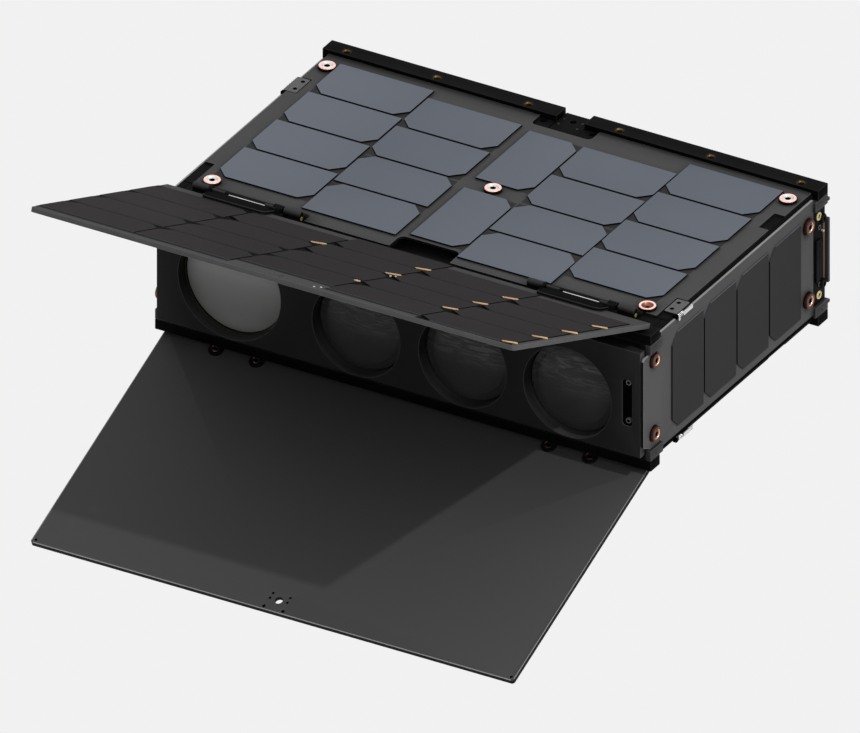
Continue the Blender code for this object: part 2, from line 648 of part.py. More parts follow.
def make_housing():
    """The front housing: a stepped block with four round bores and a connector slot."""
    neck_front, neck_back = HOUSING_FRONT + HOUSING_NECK_FRONT, HOUSING_FRONT + HOUSING_NECK_BACK
    face = box(
        (-HOUSING_HALF_LENGTH, HOUSING_FRONT, -HOUSING_HALF_HEIGHT),
        (HOUSING_HALF_LENGTH, neck_front, HOUSING_HALF_HEIGHT),
    )
    housing = add_part("front_housing", face, "black_anodised")
    bevel_edges(housing, HOUSING_BEVEL)
    neck_half = HOUSING_HALF_HEIGHT - HOUSING_BEVEL / 2
    neck = box(
        (-LEDGE_HALF_LENGTH, neck_front - 1 * MM, -neck_half),
        (LEDGE_HALF_LENGTH, neck_back + 1 * MM, neck_half),
    )
    back = box((-LEDGE_HALF_LENGTH, neck_back, -BLOCK_TOP), (LEDGE_HALF_LENGTH, HOUSING_BACK, BLOCK_TOP))
    unite(housing, [neck], "neck")
    unite(housing, [back], "back")
    for index, (share, drop, radius, *_) in enumerate(LENSES):
        middle = (share * BODY_LENGTH, HOUSING_FRONT + BORE_DEPTH / 2 - 1 * MM, -drop * BODY_LENGTH)
        cut(housing, [cone(middle, radius, radius, BORE_DEPTH + 2 * MM, "Y", LENS_STEPS)], f"bore_{index}")
    slot = rounded(
        [
            (SLOT_CENTRE - SLOT_WIDTH / 2, -SLOT_HEIGHT / 2),
            (SLOT_CENTRE + SLOT_WIDTH / 2, -SLOT_HEIGHT / 2),
            (SLOT_CENTRE + SLOT_WIDTH / 2, SLOT_HEIGHT / 2),
            (SLOT_CENTRE - SLOT_WIDTH / 2, SLOT_HEIGHT / 2),
        ],
        SLOT_WIDTH / 5,
        steps=3,
    )
    cut(housing, [outline_plate(slot, HOUSING_FRONT - 1 * MM, HOUSING_FRONT + SLOT_DEPTH, "Y")], "slot")


def turned(name, profile, closed, centre, finish):
    """A (radius, height) profile turned by a Screw modifier about an axis that points along -Y."""
    shape = bmesh.new()
    points = [shape.verts.new((radius, 0.0, height)) for radius, height in profile]
    after = points[1:] + points[:1] if closed else points[1:]
    for pair in zip(points, after):
        shape.edges.new(pair)
    mesh = bpy.data.meshes.new(name)
    shape.to_mesh(mesh)
    shape.free()
    made = add_part(name, mesh, finish)
    made.location = centre
    made.rotation_euler = (pi / 2, 0.0, 0.0)
    screw = made.modifiers.new("turn", "SCREW")
    screw.axis = "Z"
    screw.steps = LENS_STEPS
    screw.render_steps = LENS_STEPS
    screw.use_merge_vertices = True
    screw.merge_threshold = 0.00001
    screw.use_smooth_shade = True


def make_lenses():
    """Each lens: a barrel ring on the bore's floor and a domed glass inside it."""
    floor = HOUSING_FRONT + BORE_DEPTH - SEAT_GAP
    for index, (share, drop, bore, depth, rim, dome) in enumerate(LENSES, 1):
        centre = (share * BODY_LENGTH, floor, -drop * BODY_LENGTH)
        outer = bore - SEAT_GAP
        inner = outer - rim
        face = BORE_DEPTH - SEAT_GAP - depth
        ring = [(inner, face), (outer, face), (outer, 0.0), (inner, 0.0)]
        turned(f"lens_barrel_{index}", ring, True, centre, "black_anodised")
        glass = inner - SEAT_GAP
        edge = face - 1.0 * MM
        shares = [step / 8 for step in range(8)]
        rings = [(glass * share, edge + 0.8 * MM + dome * (1 - share**2)) for share in shares]
        profile = rings + [(glass - 0.8 * MM, edge + 0.8 * MM), (glass, edge), (glass, 0.0), (0.0, 0.0)]
        turned(f"lens_glass_{index}", profile, False, centre, "lens_glass")


def make_inner_block():
    """The closed electronics and battery stack, as one plain block behind the housing."""
    half_length, half_height = HALF_LENGTH - STACK_END_INSET, BLOCK_TOP - STACK_WALL_GAP
    low = (-half_length, HOUSING_BACK + SEAT_GAP, -half_height)
    high = (half_length, HALF_DEPTH, half_height)
    add_part("avionics_stack", box(low, high), "avionics")


def make_hold_down(side, level):
    """The flap's hold-down block, between the rear rails and under the panel's cutout."""
    top = HOLD_DOWN_TOP
    floor = box(
        (SEAT_GAP - REAR_CUTOUT_HALF, PANEL_REAR - REAR_CUTOUT_DEPTH - 6 * MM, side * RAIL_BOTTOM),
        (REAR_CUTOUT_HALF - SEAT_GAP, PANEL_REAR, side * LEDGE_TOP),
    )
    part = add_part(f"{level}_hold_down", floor, "black_anodised")
    block = box(
        (SEAT_GAP - HOLD_DOWN_EDGE, PANEL_REAR - REAR_CUTOUT_DEPTH + 1 * MM, side * (RAIL_BOTTOM + 0.5 * MM)),
        (HOLD_DOWN_EDGE - SEAT_GAP, HALF_DEPTH, side * top),
    )
    unite(part, [block], "block")
    hole = cone((0, REAR_RAIL_FRONT + 3.7 * MM, side * top), HOLD_DOWN_HOLE, HOLD_DOWN_HOLE, RAIL_HEIGHT)
    cut(part, [hole], "hole")


def make_clip(name, end, side, low_y, high_y):
    """A panel edge clip: a small plate in the panel's notch and a leaf over the end panel."""
    plate = box(
        (end * (PANEL_HALF_LENGTH - SIDE_NOTCH_DEPTH + SEAT_GAP), low_y, side * PANEL_BOTTOM),
        (end * (CLIP_LEAF_OUTER - CLIP_LEAF_THICKNESS / 2), high_y, side * (PANEL_TOP + CLIP_PROUD)),
    )
    clip = add_part(name, plate, "spring_steel")
    leaf = box(
        (end * (CLIP_LEAF_OUTER - CLIP_LEAF_THICKNESS), low_y + 1 * MM, side * CLIP_LEAF_END),
        (end * CLIP_LEAF_OUTER, high_y - 1 * MM, side * (PANEL_TOP + CLIP_PROUD - SEAT_GAP)),
    )
    unite(clip, [leaf], "leaf")


def make_clips():
    notch_low = SIDE_NOTCH_REAR - SIDE_NOTCH_LENGTH
    rear = (notch_low + SEAT_GAP, SIDE_NOTCH_REAR - SEAT_GAP)
    corner = PANEL_FRONT + CORNER_NOTCH_LENGTH
    front = (corner - CLIP_LENGTH, corner - SEAT_GAP)
    for side, level in ((1, "top"), (-1, "bottom")):
        make_clip(f"{level}_right_clip", 1, side, *front)
        make_clip(f"{level}_left_clip", -1, side, *rear)


def make_port(end, word):
    """The end port: a connector and its plate between the end panel and the rear panel."""
    low_y = END_PANEL_REAR + SEAT_GAP
    base = box(
        (end * END_PANEL_INNER, low_y, -PORT_HALF_HEIGHT),
        (end * (END_PANEL_INNER + PORT_PLATE), HALF_DEPTH - 0.5 * MM, PORT_HALF_HEIGHT),
    )
    port = add_part(f"{word}_end_port", base, "black_anodised")
    body = box(
        (end * (END_PANEL_INNER + PORT_PLATE - 0.3 * MM), low_y + 2 * MM, -PORT_BODY_HALF),
        (end * PORT_BODY_OUTER, low_y + PORT_BODY_DEPTH, PORT_BODY_HALF),
    )
    unite(port, [body], "body")


def flap_axis(side, level):
    """An empty on the hinge axis, tilted so that its -Y points along the opened flap."""
    axis = bpy.data.objects.new(f"{level}_flap_axis", None)
    axis.location = (0, HINGE_Y, side * HINGE_Z)
    axis.rotation_euler = (-side * FLAP_TILT, 0, 0)
    PARTS.objects.link(axis)
    bpy.context.view_layer.update()
    return axis


def flap_cells():
    cells = []
    for left, start, rows in FLAP_COLUMNS:
        for row, free_side in enumerate(rows):
            far = FLAP_START + start * BODY_DEPTH + row * (CELL_WIDTH + FLAP_CELL_SPACE) + CELL_WIDTH
            side = "front" if free_side else "rear"
            cells.append(cell_shape(left * BODY_LENGTH, -far, CELL_LENGTH, CELL_WIDTH, side))
    return cells


def make_flap(side, level, axis):
    """A solar flap: a rounded board with cells on its outer side and a hold-down hole at its free edge."""
    near, far = -FLAP_START, -(FLAP_START + FLAP_REACH)
    corners = [
        (-FLAP_HALF_LENGTH, near, 0),
        (-FLAP_HALF_LENGTH, far),
        (FLAP_HALF_LENGTH, far),
        (FLAP_HALF_LENGTH, near, 0),
    ]
    outline = rounded(corners, FLAP_CORNER_RADIUS)
    top = -side * FLAP_BELOW_AXIS
    plate = outline_plate(outline, top - side * FLAP_THICKNESS, top)
    flap = add_part(f"{level}_flap", plate, "panel_board", axis)
    low, high = top - side * CELL_SUNK, top + side * CELL_PROUD
    unite(flap, [outline_plate(cell, low, high) for cell in flap_cells()], "cells")
    reach = 4 * FLAP_THICKNESS
    hole = cone((0, far + FLAP_HOLE_FROM_EDGE, top), FLAP_HOLE_RADIUS, FLAP_HOLE_RADIUS, reach)
    corner_holes = []
    for end in (-1, 1):
        middle = (end * (FLAP_HALF_LENGTH - FLAP_PINHOLE_INSET), far + FLAP_PINHOLE_INSET, top)
        corner_holes.append(cone(middle, FLAP_PINHOLE_RADIUS, FLAP_PINHOLE_RADIUS, reach, steps=12))
    cut(flap, [hole] + corner_holes, "holes")


def make_hinge(side, level, word, left, axis):
    """One hinge: a base with two outer knuckles and the pin, and a leaf with two inner knuckles."""
    foot_low = LEDGE_TOP + SEAT_GAP
    foot_top = foot_low + HINGE_FOOT_THICKNESS
    right = left + HINGE_LENGTH
    foot = box(
        (left, FRONT_RAIL_BACK + SEAT_GAP, side * foot_low),
        (right, PANEL_FRONT - SEAT_GAP, side * foot_top),
    )
    base = add_part(f"{level}_{word}_hinge_base", foot, "black_anodised")
    webs, knuckles = [], []
    for start, end in BASE_KNUCKLES:
        near, far = left + start * HINGE_LENGTH, left + end * HINGE_LENGTH
        webs.append(
            box(
                (near, HINGE_Y - KNUCKLE_RADIUS, side * (foot_top - 1 * MM)),
                (far, HINGE_Y + KNUCKLE_RADIUS, side * HINGE_Z),
            )
        )
        middle = ((near + far) / 2, HINGE_Y, side * HINGE_Z)
        knuckles.append(cone(middle, KNUCKLE_RADIUS, KNUCKLE_RADIUS, far - near, "X"))
    unite(base, webs, "webs")
    unite(base, knuckles, "knuckles")
    middle = ((left + right) / 2, HINGE_Y, side * HINGE_Z)
    unite(base, [cone(middle, PIN_RADIUS, PIN_RADIUS, HINGE_LENGTH - 2 * PIN_SHORT, "X", 16)], "pin")

    low = SEAT_GAP - FLAP_BELOW_AXIS
    high = low + LEAF_THICKNESS
    first, last = (left + share * HINGE_LENGTH for share in LEAF_PLATE)
    corners = [
        (first, -LEAF_CLEAR_OF_SPRING, 0),
        (first, -LEAF_REACH, 1 * MM),
        (last, -LEAF_REACH),
        (last, -LEAF_CLEAR_OF_SPRING, 0),
    ]
    plate = outline_plate(rounded(corners, LEAF_CORNER_RADIUS), side * low, side * high)
    leaf = add_part(f"{level}_{word}_hinge_leaf", plate, "black_anodised", axis)
    arms, rounds = [], []
    for start, end in LEAF_KNUCKLES:
        near, far = left + start * HINGE_LENGTH, left + end * HINGE_LENGTH
        arms.append(box((near, -LEAF_CLEAR_OF_SPRING - 1 * MM, side * low), (far, 0.0, side * high)))
        middle = ((near + far) / 2, 0, 0)
        rounds.append(cone(middle, LEAF_KNUCKLE_RADIUS, LEAF_KNUCKLE_RADIUS, far - near, "X"))
    unite(leaf, arms, "arms")
    unite(leaf, rounds, "knuckles")
    bore = PIN_RADIUS + PIN_CLEARANCE
    cut(leaf, [cone(((left + right) / 2, 0, 0), bore, bore, HINGE_LENGTH, "X", 16)], "bore")


for side, level in ((1, "top"), (-1, "bottom")):
    make_rear_rails(side, level)
    make_front_rail(side, level)
    make_board_panel(side, level)
    make_hold_down(side, level)
for end, word in ((-1, "left"), (1, "right")):
    make_end_frame(end, word)
    make_end_panel(end, word)
    make_port(end, word)
make_rear_panel()
make_housing()
make_lenses()
make_inner_block()
make_clips()
for side, level in ((1, "upper"), (-1, "lower")):
    axis = flap_axis(side, level)
    make_flap(side, level, axis)
    for word, left in zip(("left", "right"), HINGE_LEFTS):
        make_hinge(side, level, word, left, axis)
bpy.context.view_layer.update()
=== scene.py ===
"""The small satellite with its finished surfaces, in a plain pale studio.

Shapes are worked out in millimetres about the body's centre, X along the long side, the
apertures towards -Y. Pieces of the top and the right are repeated, mirrored, below and left.
"""

from math import cos, hypot, pi, radians, sin

import bmesh
import bpy
from mathutils import Matrix, Vector


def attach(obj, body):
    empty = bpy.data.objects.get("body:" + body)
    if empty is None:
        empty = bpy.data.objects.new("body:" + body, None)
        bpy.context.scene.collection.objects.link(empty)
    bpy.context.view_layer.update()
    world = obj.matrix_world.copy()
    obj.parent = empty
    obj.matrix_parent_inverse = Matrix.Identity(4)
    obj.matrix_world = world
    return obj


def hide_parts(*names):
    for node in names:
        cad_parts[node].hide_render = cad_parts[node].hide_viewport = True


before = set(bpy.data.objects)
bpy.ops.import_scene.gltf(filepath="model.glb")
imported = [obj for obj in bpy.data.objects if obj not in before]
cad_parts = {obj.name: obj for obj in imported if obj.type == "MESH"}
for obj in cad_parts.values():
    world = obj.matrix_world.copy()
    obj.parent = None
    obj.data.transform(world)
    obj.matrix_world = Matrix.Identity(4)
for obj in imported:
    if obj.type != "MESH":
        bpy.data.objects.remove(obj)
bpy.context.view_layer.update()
MM = 0.001

# Sizes shared by several pieces, in millimetres
HALF_LENGTH = 183.0
HALF_DEPTH = 113.15
HALF_HEIGHT = 50.0
FRAME_HALF = 42.4
PANEL_TOP = 47.5
PANEL_BOTTOM = 45.9
PANEL_REAR = 100.6
PANEL_FRONT = -84.5
PANEL_HALF = 178.0
NOTCH_X = 170.5
LIP_FRONT = -92.3
LIP_LEFT = -85.0
LIP_RIGHT = 81.7
MIDDLE_GAP = 22.3
RAIL_BOTTOM = 42.7
RAIL_FLANGE_TOP = 45.6
RAIL_FLANGE_REAR = -77.4
RAIL_HOLES = (33.6, 101.0, 167.6)
RAIL_HOLE_Y = 105.5
CELL_LONG = 69.4
CELL_WIDE = 39.6
TOP_LONG = 69.0
TOP_WIDE = 39.0
TOP_PITCH = 40.9
FLAP_PITCH = 41.33
CROP = 8.0
TOP_CELL_HEIGHT = 1.1
FLAP_CELL_HEIGHT = 0.45
END_CELL_HEIGHT = 0.75
END_FACE = 181.2
HOUSING_FRONT = -118.8
HINGE_Y = -95.0
HINGE_Z = 52.9
FLAP_START = 10.04
FLAP_END = 198.44
FLAP_HALF = 178.2
FLAP_TOP = -2.65
FLAP_BOTTOM = -5.75
HINGE_LENGTH = 79.3
HINGE_LEFTS = (-164.6, 82.0)
# How far a raised piece reaches into what carries it
SEAT = 0.1
# Edges that turn by more than this are softened
SHARP_EDGE = radians(40)
# The clips' coil: sides of its wire, and steps in a turn
COIL_SIDES = 6
COIL_STEPS = 18

# Light and view, lengths in metres
HORIZON_LIGHT = 0.2
OVERHEAD_LIGHT = 1.2
KEY_LIGHT = 1.3
KEY_FROM = (0.5495, -0.0953, 0.830)
KEY_WIDTH = radians(1.2)
SIDE_LIGHT = 0.9
SIDE_PLACE = (0.62, -0.30, 0.14)
SIDE_FROM = (0.44, -0.30, 0.14)
FLOOR_SIZE = 6.0
FLOOR_HEIGHT = -1.4
FLOOR_TONE = (0.62, 0.62, 0.62, 1)
BACKDROP_TONE = (0.88, 0.88, 0.88, 1)
VIEW_WIDTH = 0.5495
VIEW_CENTRE = Vector((-0.01632, -0.05025, -0.06124))
VIEW_FROM = Vector((0.4330127, -0.75, 0.5))
VIEW_DISTANCE = 1.2

SAME = Matrix.Identity(4)
BELOW = Matrix.Diagonal((1, 1, -1, 1))
ACROSS = Matrix.Diagonal((-1, 1, 1, 1))
UPPER = Matrix.Translation((0, HINGE_Y, HINGE_Z)) @ Matrix.Rotation(radians(-22), 4, "X")
LOWER = BELOW @ UPPER


# Shader nodes
def feed(tree, socket, value):
    """Links a socket to the one that feeds it, or gives it a plain value."""
    if isinstance(value, bpy.types.NodeSocket):
        tree.links.new(value, socket)
    else:
        socket.default_value = value


def add_node(tree, kind, inputs=None, operation=None, group=None):
    """Adds a shader node, fed by values or sockets, and gives its outputs."""
    made = tree.nodes.new(f"ShaderNode{kind}")
    if operation:
        made.operation = operation
    if group:
        made.node_tree = group
    for name, value in (inputs or {}).items():
        feed(tree, made.inputs[name], value)
    return made.outputs


def ramp(tree, value, start, end, low=0.0, high=1.0):
    """Goes from low to high while the value goes from start to end."""
    limits = {"From Min": start, "From Max": end, "To Min": low, "To Max": high}
    return add_node(tree, "MapRange", {"Value": value, **limits})["Result"]


def mix_colour(tree, factor, first, second):
    """Mixes two colours; each is a tone or a socket."""
    mix = tree.nodes.new("ShaderNodeMix")
    mix.data_type = "RGBA"
    tree.links.new(factor, mix.inputs["Factor"])
    # A colour mix has its two colours in sockets 6 and 7, and its result in output 2
    for socket, value in ((mix.inputs[6], first), (mix.inputs[7], second)):
        feed(tree, socket, (*value, 1.0) if isinstance(value, tuple) else value)
    return mix.outputs[2]


def tint(tree, factor, tone):
    """Mixes a tone over the colour that a material has so far."""
    socket = tree.nodes["Principled BSDF"].inputs["Base Color"]
    tree.links.new(mix_colour(tree, factor, socket.links[0].from_socket, tone), socket)


def new_group(name, inputs, outputs):
    """An empty node group with its sockets."""
    group = bpy.data.node_groups.new(name, "ShaderNodeTree")
    for title, kind, value in inputs:
        made = group.interface.new_socket(title, in_out="INPUT", socket_type=f"NodeSocket{kind}")
        made.default_value = value
    for title, kind in outputs:
        group.interface.new_socket(title, in_out="OUTPUT", socket_type=f"NodeSocket{kind}")
    return group, group.nodes.new("NodeGroupInput").outputs, group.nodes.new("NodeGroupOutput").inputs


def detail_group():
    """Clouds, speckle and a fine grain in object space, for every surface."""
    group, given, result = new_group(
        "surface_detail",
        [
            ("Cloud scale", "Float", 25.0), ("Grain scale", "Float", 2500.0),
            ("Grain depth", "Float", 0.00001), ("Stretch", "Vector", (1.0, 1.0, 1.0)),
        ],
        [("Cloud", "Float"), ("Speckle", "Float"), ("Normal", "Vector")],
    )
    place = add_node(group, "TexCoord")["Object"]
    clouds = add_node(group, "TexNoise", {"Vector": place, "Scale": given["Cloud scale"], "Detail": 4.0})
    stretched = add_node(group, "VectorMath", {0: place, 1: given["Stretch"]}, "MULTIPLY")[0]
    grain = add_node(
        group, "TexNoise",
        {"Vector": stretched, "Scale": given["Grain scale"], "Detail": 3.0, "Roughness": 0.65},
    )
    relief = add_node(group, "Bump", {"Height": grain["Fac"], "Distance": given["Grain depth"]})
    group.links.new(ramp(group, clouds["Fac"], 0.3, 0.7), result["Cloud"])
    group.links.new(grain["Fac"], result["Speckle"])
    group.links.new(relief["Normal"], result["Normal"])
    return group


def line_group():
    """Fine parallel lines in object space: 1 on a line and 0 between, along a chosen direction."""
    group, given, result = new_group(
        "fine_lines",
        [("Direction", "Vector", (1.0, 0.0, 0.0)), ("Pitch", "Float", 0.0013), ("Width", "Float", 0.12)],
        [("Line", "Float")],
    )
    place = add_node(group, "TexCoord")["Object"]
    along = add_node(group, "VectorMath", {0: place, 1: given["Direction"]}, "DOT_PRODUCT")
    steps = add_node(group, "Math", {0: along["Value"], 1: given["Pitch"]}, "DIVIDE")
    part = add_node(group, "Math", {0: steps[0]}, "FRACT")
    under = add_node(group, "Math", {0: part[0], 1: given["Width"]}, "LESS_THAN")
    group.links.new(under[0], result["Line"])
    return group


DETAIL = detail_group()
LINES = line_group()


def grey(tone, blue=None):
    """A neutral colour; blue is its third channel where that differs."""
    return (tone, tone, tone if blue is None else blue)


def surface(
    name, dark, light, rough=0.5, spread=0.08, metallic=0.0, cloud=25.0, grain=2500.0, depth=0.00001,
    stretch=(1, 1, 1), specular=0.5, lines=None,
):
    """A material whose colour drifts between two tones, with grain in its gloss and its relief."""
    made = bpy.data.materials.new(name)
    made.use_nodes = True
    tree = made.node_tree
    values = {"Cloud scale": cloud, "Grain scale": grain, "Grain depth": depth, "Stretch": stretch}
    detail = add_node(tree, "Group", values, group=DETAIL)
    colour = mix_colour(tree, detail["Cloud"], dark, light)
    if lines:
        direction, pitch, width, tone = lines
        values = {"Direction": direction, "Pitch": pitch, "Width": width}
        drawn = add_node(tree, "Group", values, group=LINES)
        colour = mix_colour(tree, drawn["Line"], colour, tone)
    gloss = ramp(tree, detail["Speckle"], 0.3, 0.7, rough - spread, rough + spread)
    shader = tree.nodes["Principled BSDF"]
    for socket, value in (
        ("Base Color", colour), ("Roughness", gloss), ("Normal", detail["Normal"]),
        ("Metallic", metallic), ("Specular IOR Level", specular),
    ):
        feed(tree, shader.inputs[socket], value)
    return made


def shade_near_edges(material, reach, low, floor):
    """Paints shade into a surface's colour softly beside anything that stands up from it, found by an
    occlusion test.
    """
    tree = material.node_tree
    shelter = tree.nodes.new("ShaderNodeAmbientOcclusion")
    shelter.samples = 8
    shelter.inputs["Distance"].default_value = reach
    shade = ramp(tree, shelter.outputs["AO"], low, 1.0, 1 - floor, 0.0)
    tint(tree, shade, (0.001, 0.001, 0.001))


def fade_along(material, axis, start, end, power, tone):
    """Changes a surface's colour to another tone along one of the object's own axes, in metres."""
    tree = material.node_tree
    place = add_node(tree, "TexCoord")["Object"]
    rise = ramp(tree, add_node(tree, "SeparateXYZ", {0: place})[axis], start, end)
    tint(tree, add_node(tree, "Math", {0: rise, 1: power}, "POWER")[0], tone)


def lens_surface(name, dark, light, reflection_tone, rough):
    """Coated glass: a dark tone with pale streaks that waver across its upper part, as a painted reflection.
    """
    made = surface(name, dark, light, rough, 0.05, cloud=45, depth=0.000001, specular=0.15)
    tree = made.node_tree
    place = add_node(tree, "TexCoord")["Object"]
    turned = add_node(
        tree, "Mapping", {"Vector": place, "Rotation": (0, radians(24), 0), "Scale": (55, 60, 330)}
    )["Vector"]
    waver = add_node(tree, "TexNoise", {"Vector": turned, "Scale": 1.0, "Detail": 5.0, "Distortion": 1.6})
    sharp = ramp(tree, waver["Fac"], 0.46, 0.72)
    upper = ramp(tree, add_node(tree, "SeparateXYZ", {0: place})["Z"], -0.012, 0.012)
    tint(tree, add_node(tree, "Math", {0: sharp, 1: upper}, "MULTIPLY")[0], reflection_tone)
    return made


# Black and grey parts
BLACK = surface("black_anodised", grey(0.0028, 0.003), grey(0.005, 0.0053), 0.55, specular=0.035)
# Painted highlight: a lighter copy of the black anodising on bevels, knuckle rims and rounded edges, for the
# light they catch.
BLACK_EDGE = surface(
    "black_anodised_painted_highlight", grey(0.007, 0.0075), grey(0.012, 0.0125), 0.45, 0.06, specular=0.08
)
# Painted shade: a darker copy of the black anodising for the sides and undersides of the rails and the tops
# of the hinge leaves.
BLACK_SIDE = surface("black_anodised_painted_shade", grey(0.0012), grey(0.0022), 0.6, specular=0.02)
HOUSING = surface("housing_black", grey(0.0065, 0.0066), grey(0.0085, 0.0088), 0.55, 0.06, specular=0.12)
# Painted highlight: a lighter copy of the housing black on its bevels and the chamfers of the bores.
HOUSING_EDGE = surface("housing_painted_highlight", grey(0.027, 0.0275), grey(0.036, 0.0365), 0.45, 0.06, specular=0.12)
# Painted light: the bore walls are a lighter copy of the housing black, for the light that reaches into the
# bores.
BORE = surface("housing_bore_painted_light_and_shade", grey(0.034, 0.0342), grey(0.04, 0.0403), 0.6, 0.06, specular=0.1)
FRAME = surface("frame_grey", grey(0.016, 0.0165), grey(0.022, 0.0225), 0.5, 0.07, specular=0.2)
# Painted highlight: a lighter copy of the frame grey on bevels, and painted light on the housing's end faces.
FRAME_EDGE = surface("frame_grey_painted_highlight", grey(0.04, 0.041), grey(0.055, 0.056), 0.42, 0.06, specular=0.3)
CONNECTOR = surface("connector_black", grey(0.002), grey(0.004, 0.0042), cloud=90, specular=0.04)
# Painted shade: near black for the insides of holes, sockets, slots and gaps, and for the small discs and
# strips put in them.
HOLE = surface("hole_painted_shade", grey(0.0006), grey(0.0012), 0.8, 0.1, specular=0.02)

# Boards
BOARD = surface(
    "board_grey", grey(0.035, 0.0352), grey(0.042, 0.0423), 0.6, 0.07, cloud=14, depth=0.000006, specular=0.3
)
# Painted highlight: a lighter copy of the board grey on its bevels.
BOARD_EDGE = surface("board_painted_highlight", grey(0.055, 0.0555), grey(0.072, 0.0725), cloud=60, specular=0.3)
# Painted shade: near black for the sides of the boards, the front faces of the end boards, the lower flap's
# sides and the clip plates' sides.
BOARD_SIDE = surface("board_side_painted_shade", grey(0.004), grey(0.008), 0.6, cloud=60, specular=0.1)
# Painted shade: a dark copy of the board grey under each top cell, seen in the cropped corners.
BOARD_SHADE = surface("board_painted_shade", grey(0.016, 0.0162), grey(0.02, 0.0202), 0.6, cloud=60, specular=0.15)
END_BOARD = surface(
    "board_end_grey", grey(0.049, 0.0493), grey(0.056, 0.0563), 0.6, 0.07, cloud=14,
    depth=0.000006, specular=0.3,
)
FLAP_BOARD = surface(
    "flap_board", grey(0.0265, 0.0267), grey(0.032, 0.0322), 0.62, 0.07, cloud=12,
    depth=0.000006, specular=0.25,
)
# Painted light: a lighter copy of the flap board for the upper flap's sides.
FLAP_SIDE = surface("flap_side_painted_light", grey(0.064, 0.0645), grey(0.076, 0.0765), 0.6, cloud=60, specular=0.15)
# Painted highlight: a pale tone for the rounded edges of the flaps and the end boards.
FLAP_RIM = surface("flap_rim_painted_highlight", grey(0.19, 0.191), grey(0.23, 0.231), cloud=60, specular=0.3)
# Painted shade: a dark strip on the flap board beside the cells of the row at the free edge.
FLAP_SHADE = surface("flap_painted_shade", grey(0.013, 0.0132), grey(0.017, 0.0172), 0.6, cloud=60, specular=0.06)
COPPER_BOARD = surface("board_brown", (0.08, 0.045, 0.02), (0.13, 0.075, 0.035), cloud=120)

# Solar cells; their fine lines have a direction, a pitch in metres, a share of it and a tone
CELL_X, CELL_Y = (
    surface(
        name, (0.074, 0.085, 0.107), (0.084, 0.096, 0.120), 0.42, 0.05, cloud=9, depth=0.000002,
        specular=0.3, lines=(direction, 0.0016, 0.14, (0.092, 0.105, 0.130)),
    )
    for name, direction in (("cell_blue_grey", (1, 0, 0)), ("cell_blue_grey_turned", (0, 1, 0)))
)
FLAP_CELL = surface(
    "cell_brown_grey", (0.0185, 0.0166, 0.0176), (0.0222, 0.0196, 0.0206), 0.55, 0.05, cloud=8,
    depth=0.000002, specular=0.06, lines=((1, 0, 0), 0.0016, 0.14, (0.0235, 0.021, 0.0222)),
)
END_CELL = surface(
    "cell_end", (0.021, 0.0197, 0.021), (0.025, 0.0235, 0.025), 0.5, 0.05, cloud=9, depth=0.000002,
    specular=0.06, lines=((0, 0, 1), 0.0016, 0.14, (0.028, 0.0265, 0.028)),
)
CELL_SIDE = surface("cell_side_black", grey(0.001), grey(0.002), 0.6, 0.05, specular=0.05)
# Painted highlight: lighter copies of the cell side for the sides facing the free edge, brighter on the free
# row than on the inner rows.
FLAP_CELL_SIDE = surface(
    "cell_side_painted_highlight", (0.075, 0.078, 0.094), (0.095, 0.098, 0.117), 0.5, 0.05, specular=0.2
)
FLAP_CELL_ROW = surface(
    "cell_side_dim_painted_highlight", (0.026, 0.027, 0.031), (0.036, 0.037, 0.042), 0.5, 0.05, specular=0.1
)
# Painted highlight: lighter tones for the end cells' upward faces, the flat tops and the cropped slopes.
END_CELL_EDGE = surface("cell_end_top_painted_highlight", (0.10, 0.104, 0.125), (0.14, 0.145, 0.17), 0.4, 0.05)
END_CELL_CROP = surface("cell_end_crop_painted_highlight", (0.035, 0.037, 0.045), (0.05, 0.052, 0.062), 0.4, 0.05, specular=0.2)
GLUE = surface("cell_adhesive", grey(0.001), grey(0.002), 0.7, 0.1, specular=0.05)

# Metal and bright parts
TAB = surface("tab_tan", (0.60, 0.39, 0.20), (0.78, 0.51, 0.28), 0.38, metallic=0.2, cloud=150)
COPPER = surface(
    "copper_pink", (1.0, 0.58, 0.50), (1.0, 0.68, 0.60), 0.25, metallic=0.15, cloud=120, depth=0.000004
)
# Painted shade: a dark copy of the copper for the insides of the bushing mouths.
COPPER_DARK = surface("copper_shade", (0.20, 0.07, 0.05), (0.32, 0.12, 0.08), 0.35, metallic=1.0, cloud=120)
COPPER_METAL = surface(
    "copper_red", (0.05, 0.013, 0.010), (0.10, 0.028, 0.019), 0.2, metallic=0.8, cloud=200, depth=0.000004
)
# Painted highlight: a bright copper band in the mouths of the end bushings.
COPPER_LIGHT = surface("copper_painted_highlight", (0.80, 0.36, 0.20), (0.95, 0.50, 0.30), 0.2, metallic=0.5, cloud=200)
STEEL = surface("screw_steel", (0.75, 0.74, 0.73), (0.92, 0.91, 0.90), 0.28, metallic=0.7, cloud=150)
STEEL_DARK = surface("screw_dark", grey(0.07, 0.073), grey(0.13, 0.134), 0.38, metallic=1.0, cloud=150)
SCREW_GREY = surface("screw_grey", (0.13, 0.125, 0.12), (0.22, 0.21, 0.2), 0.35, metallic=0.4, cloud=150)
SPRING = surface(
    "spring_steel", grey(0.62), grey(0.86), 0.22, metallic=0.85, cloud=80,
    grain=900, stretch=(0.2, 1, 6), depth=0.000005,
)
CLIP_PLATE = surface(
    "clip_plate", grey(0.045, 0.047), grey(0.11, 0.114), 0.4, 0.12, 0.2, cloud=1200, depth=0.00003
)
BRASS = surface("brass_insert", (0.085, 0.055, 0.02), (0.14, 0.09, 0.035), 0.42, 0.1, 0.9, cloud=200)
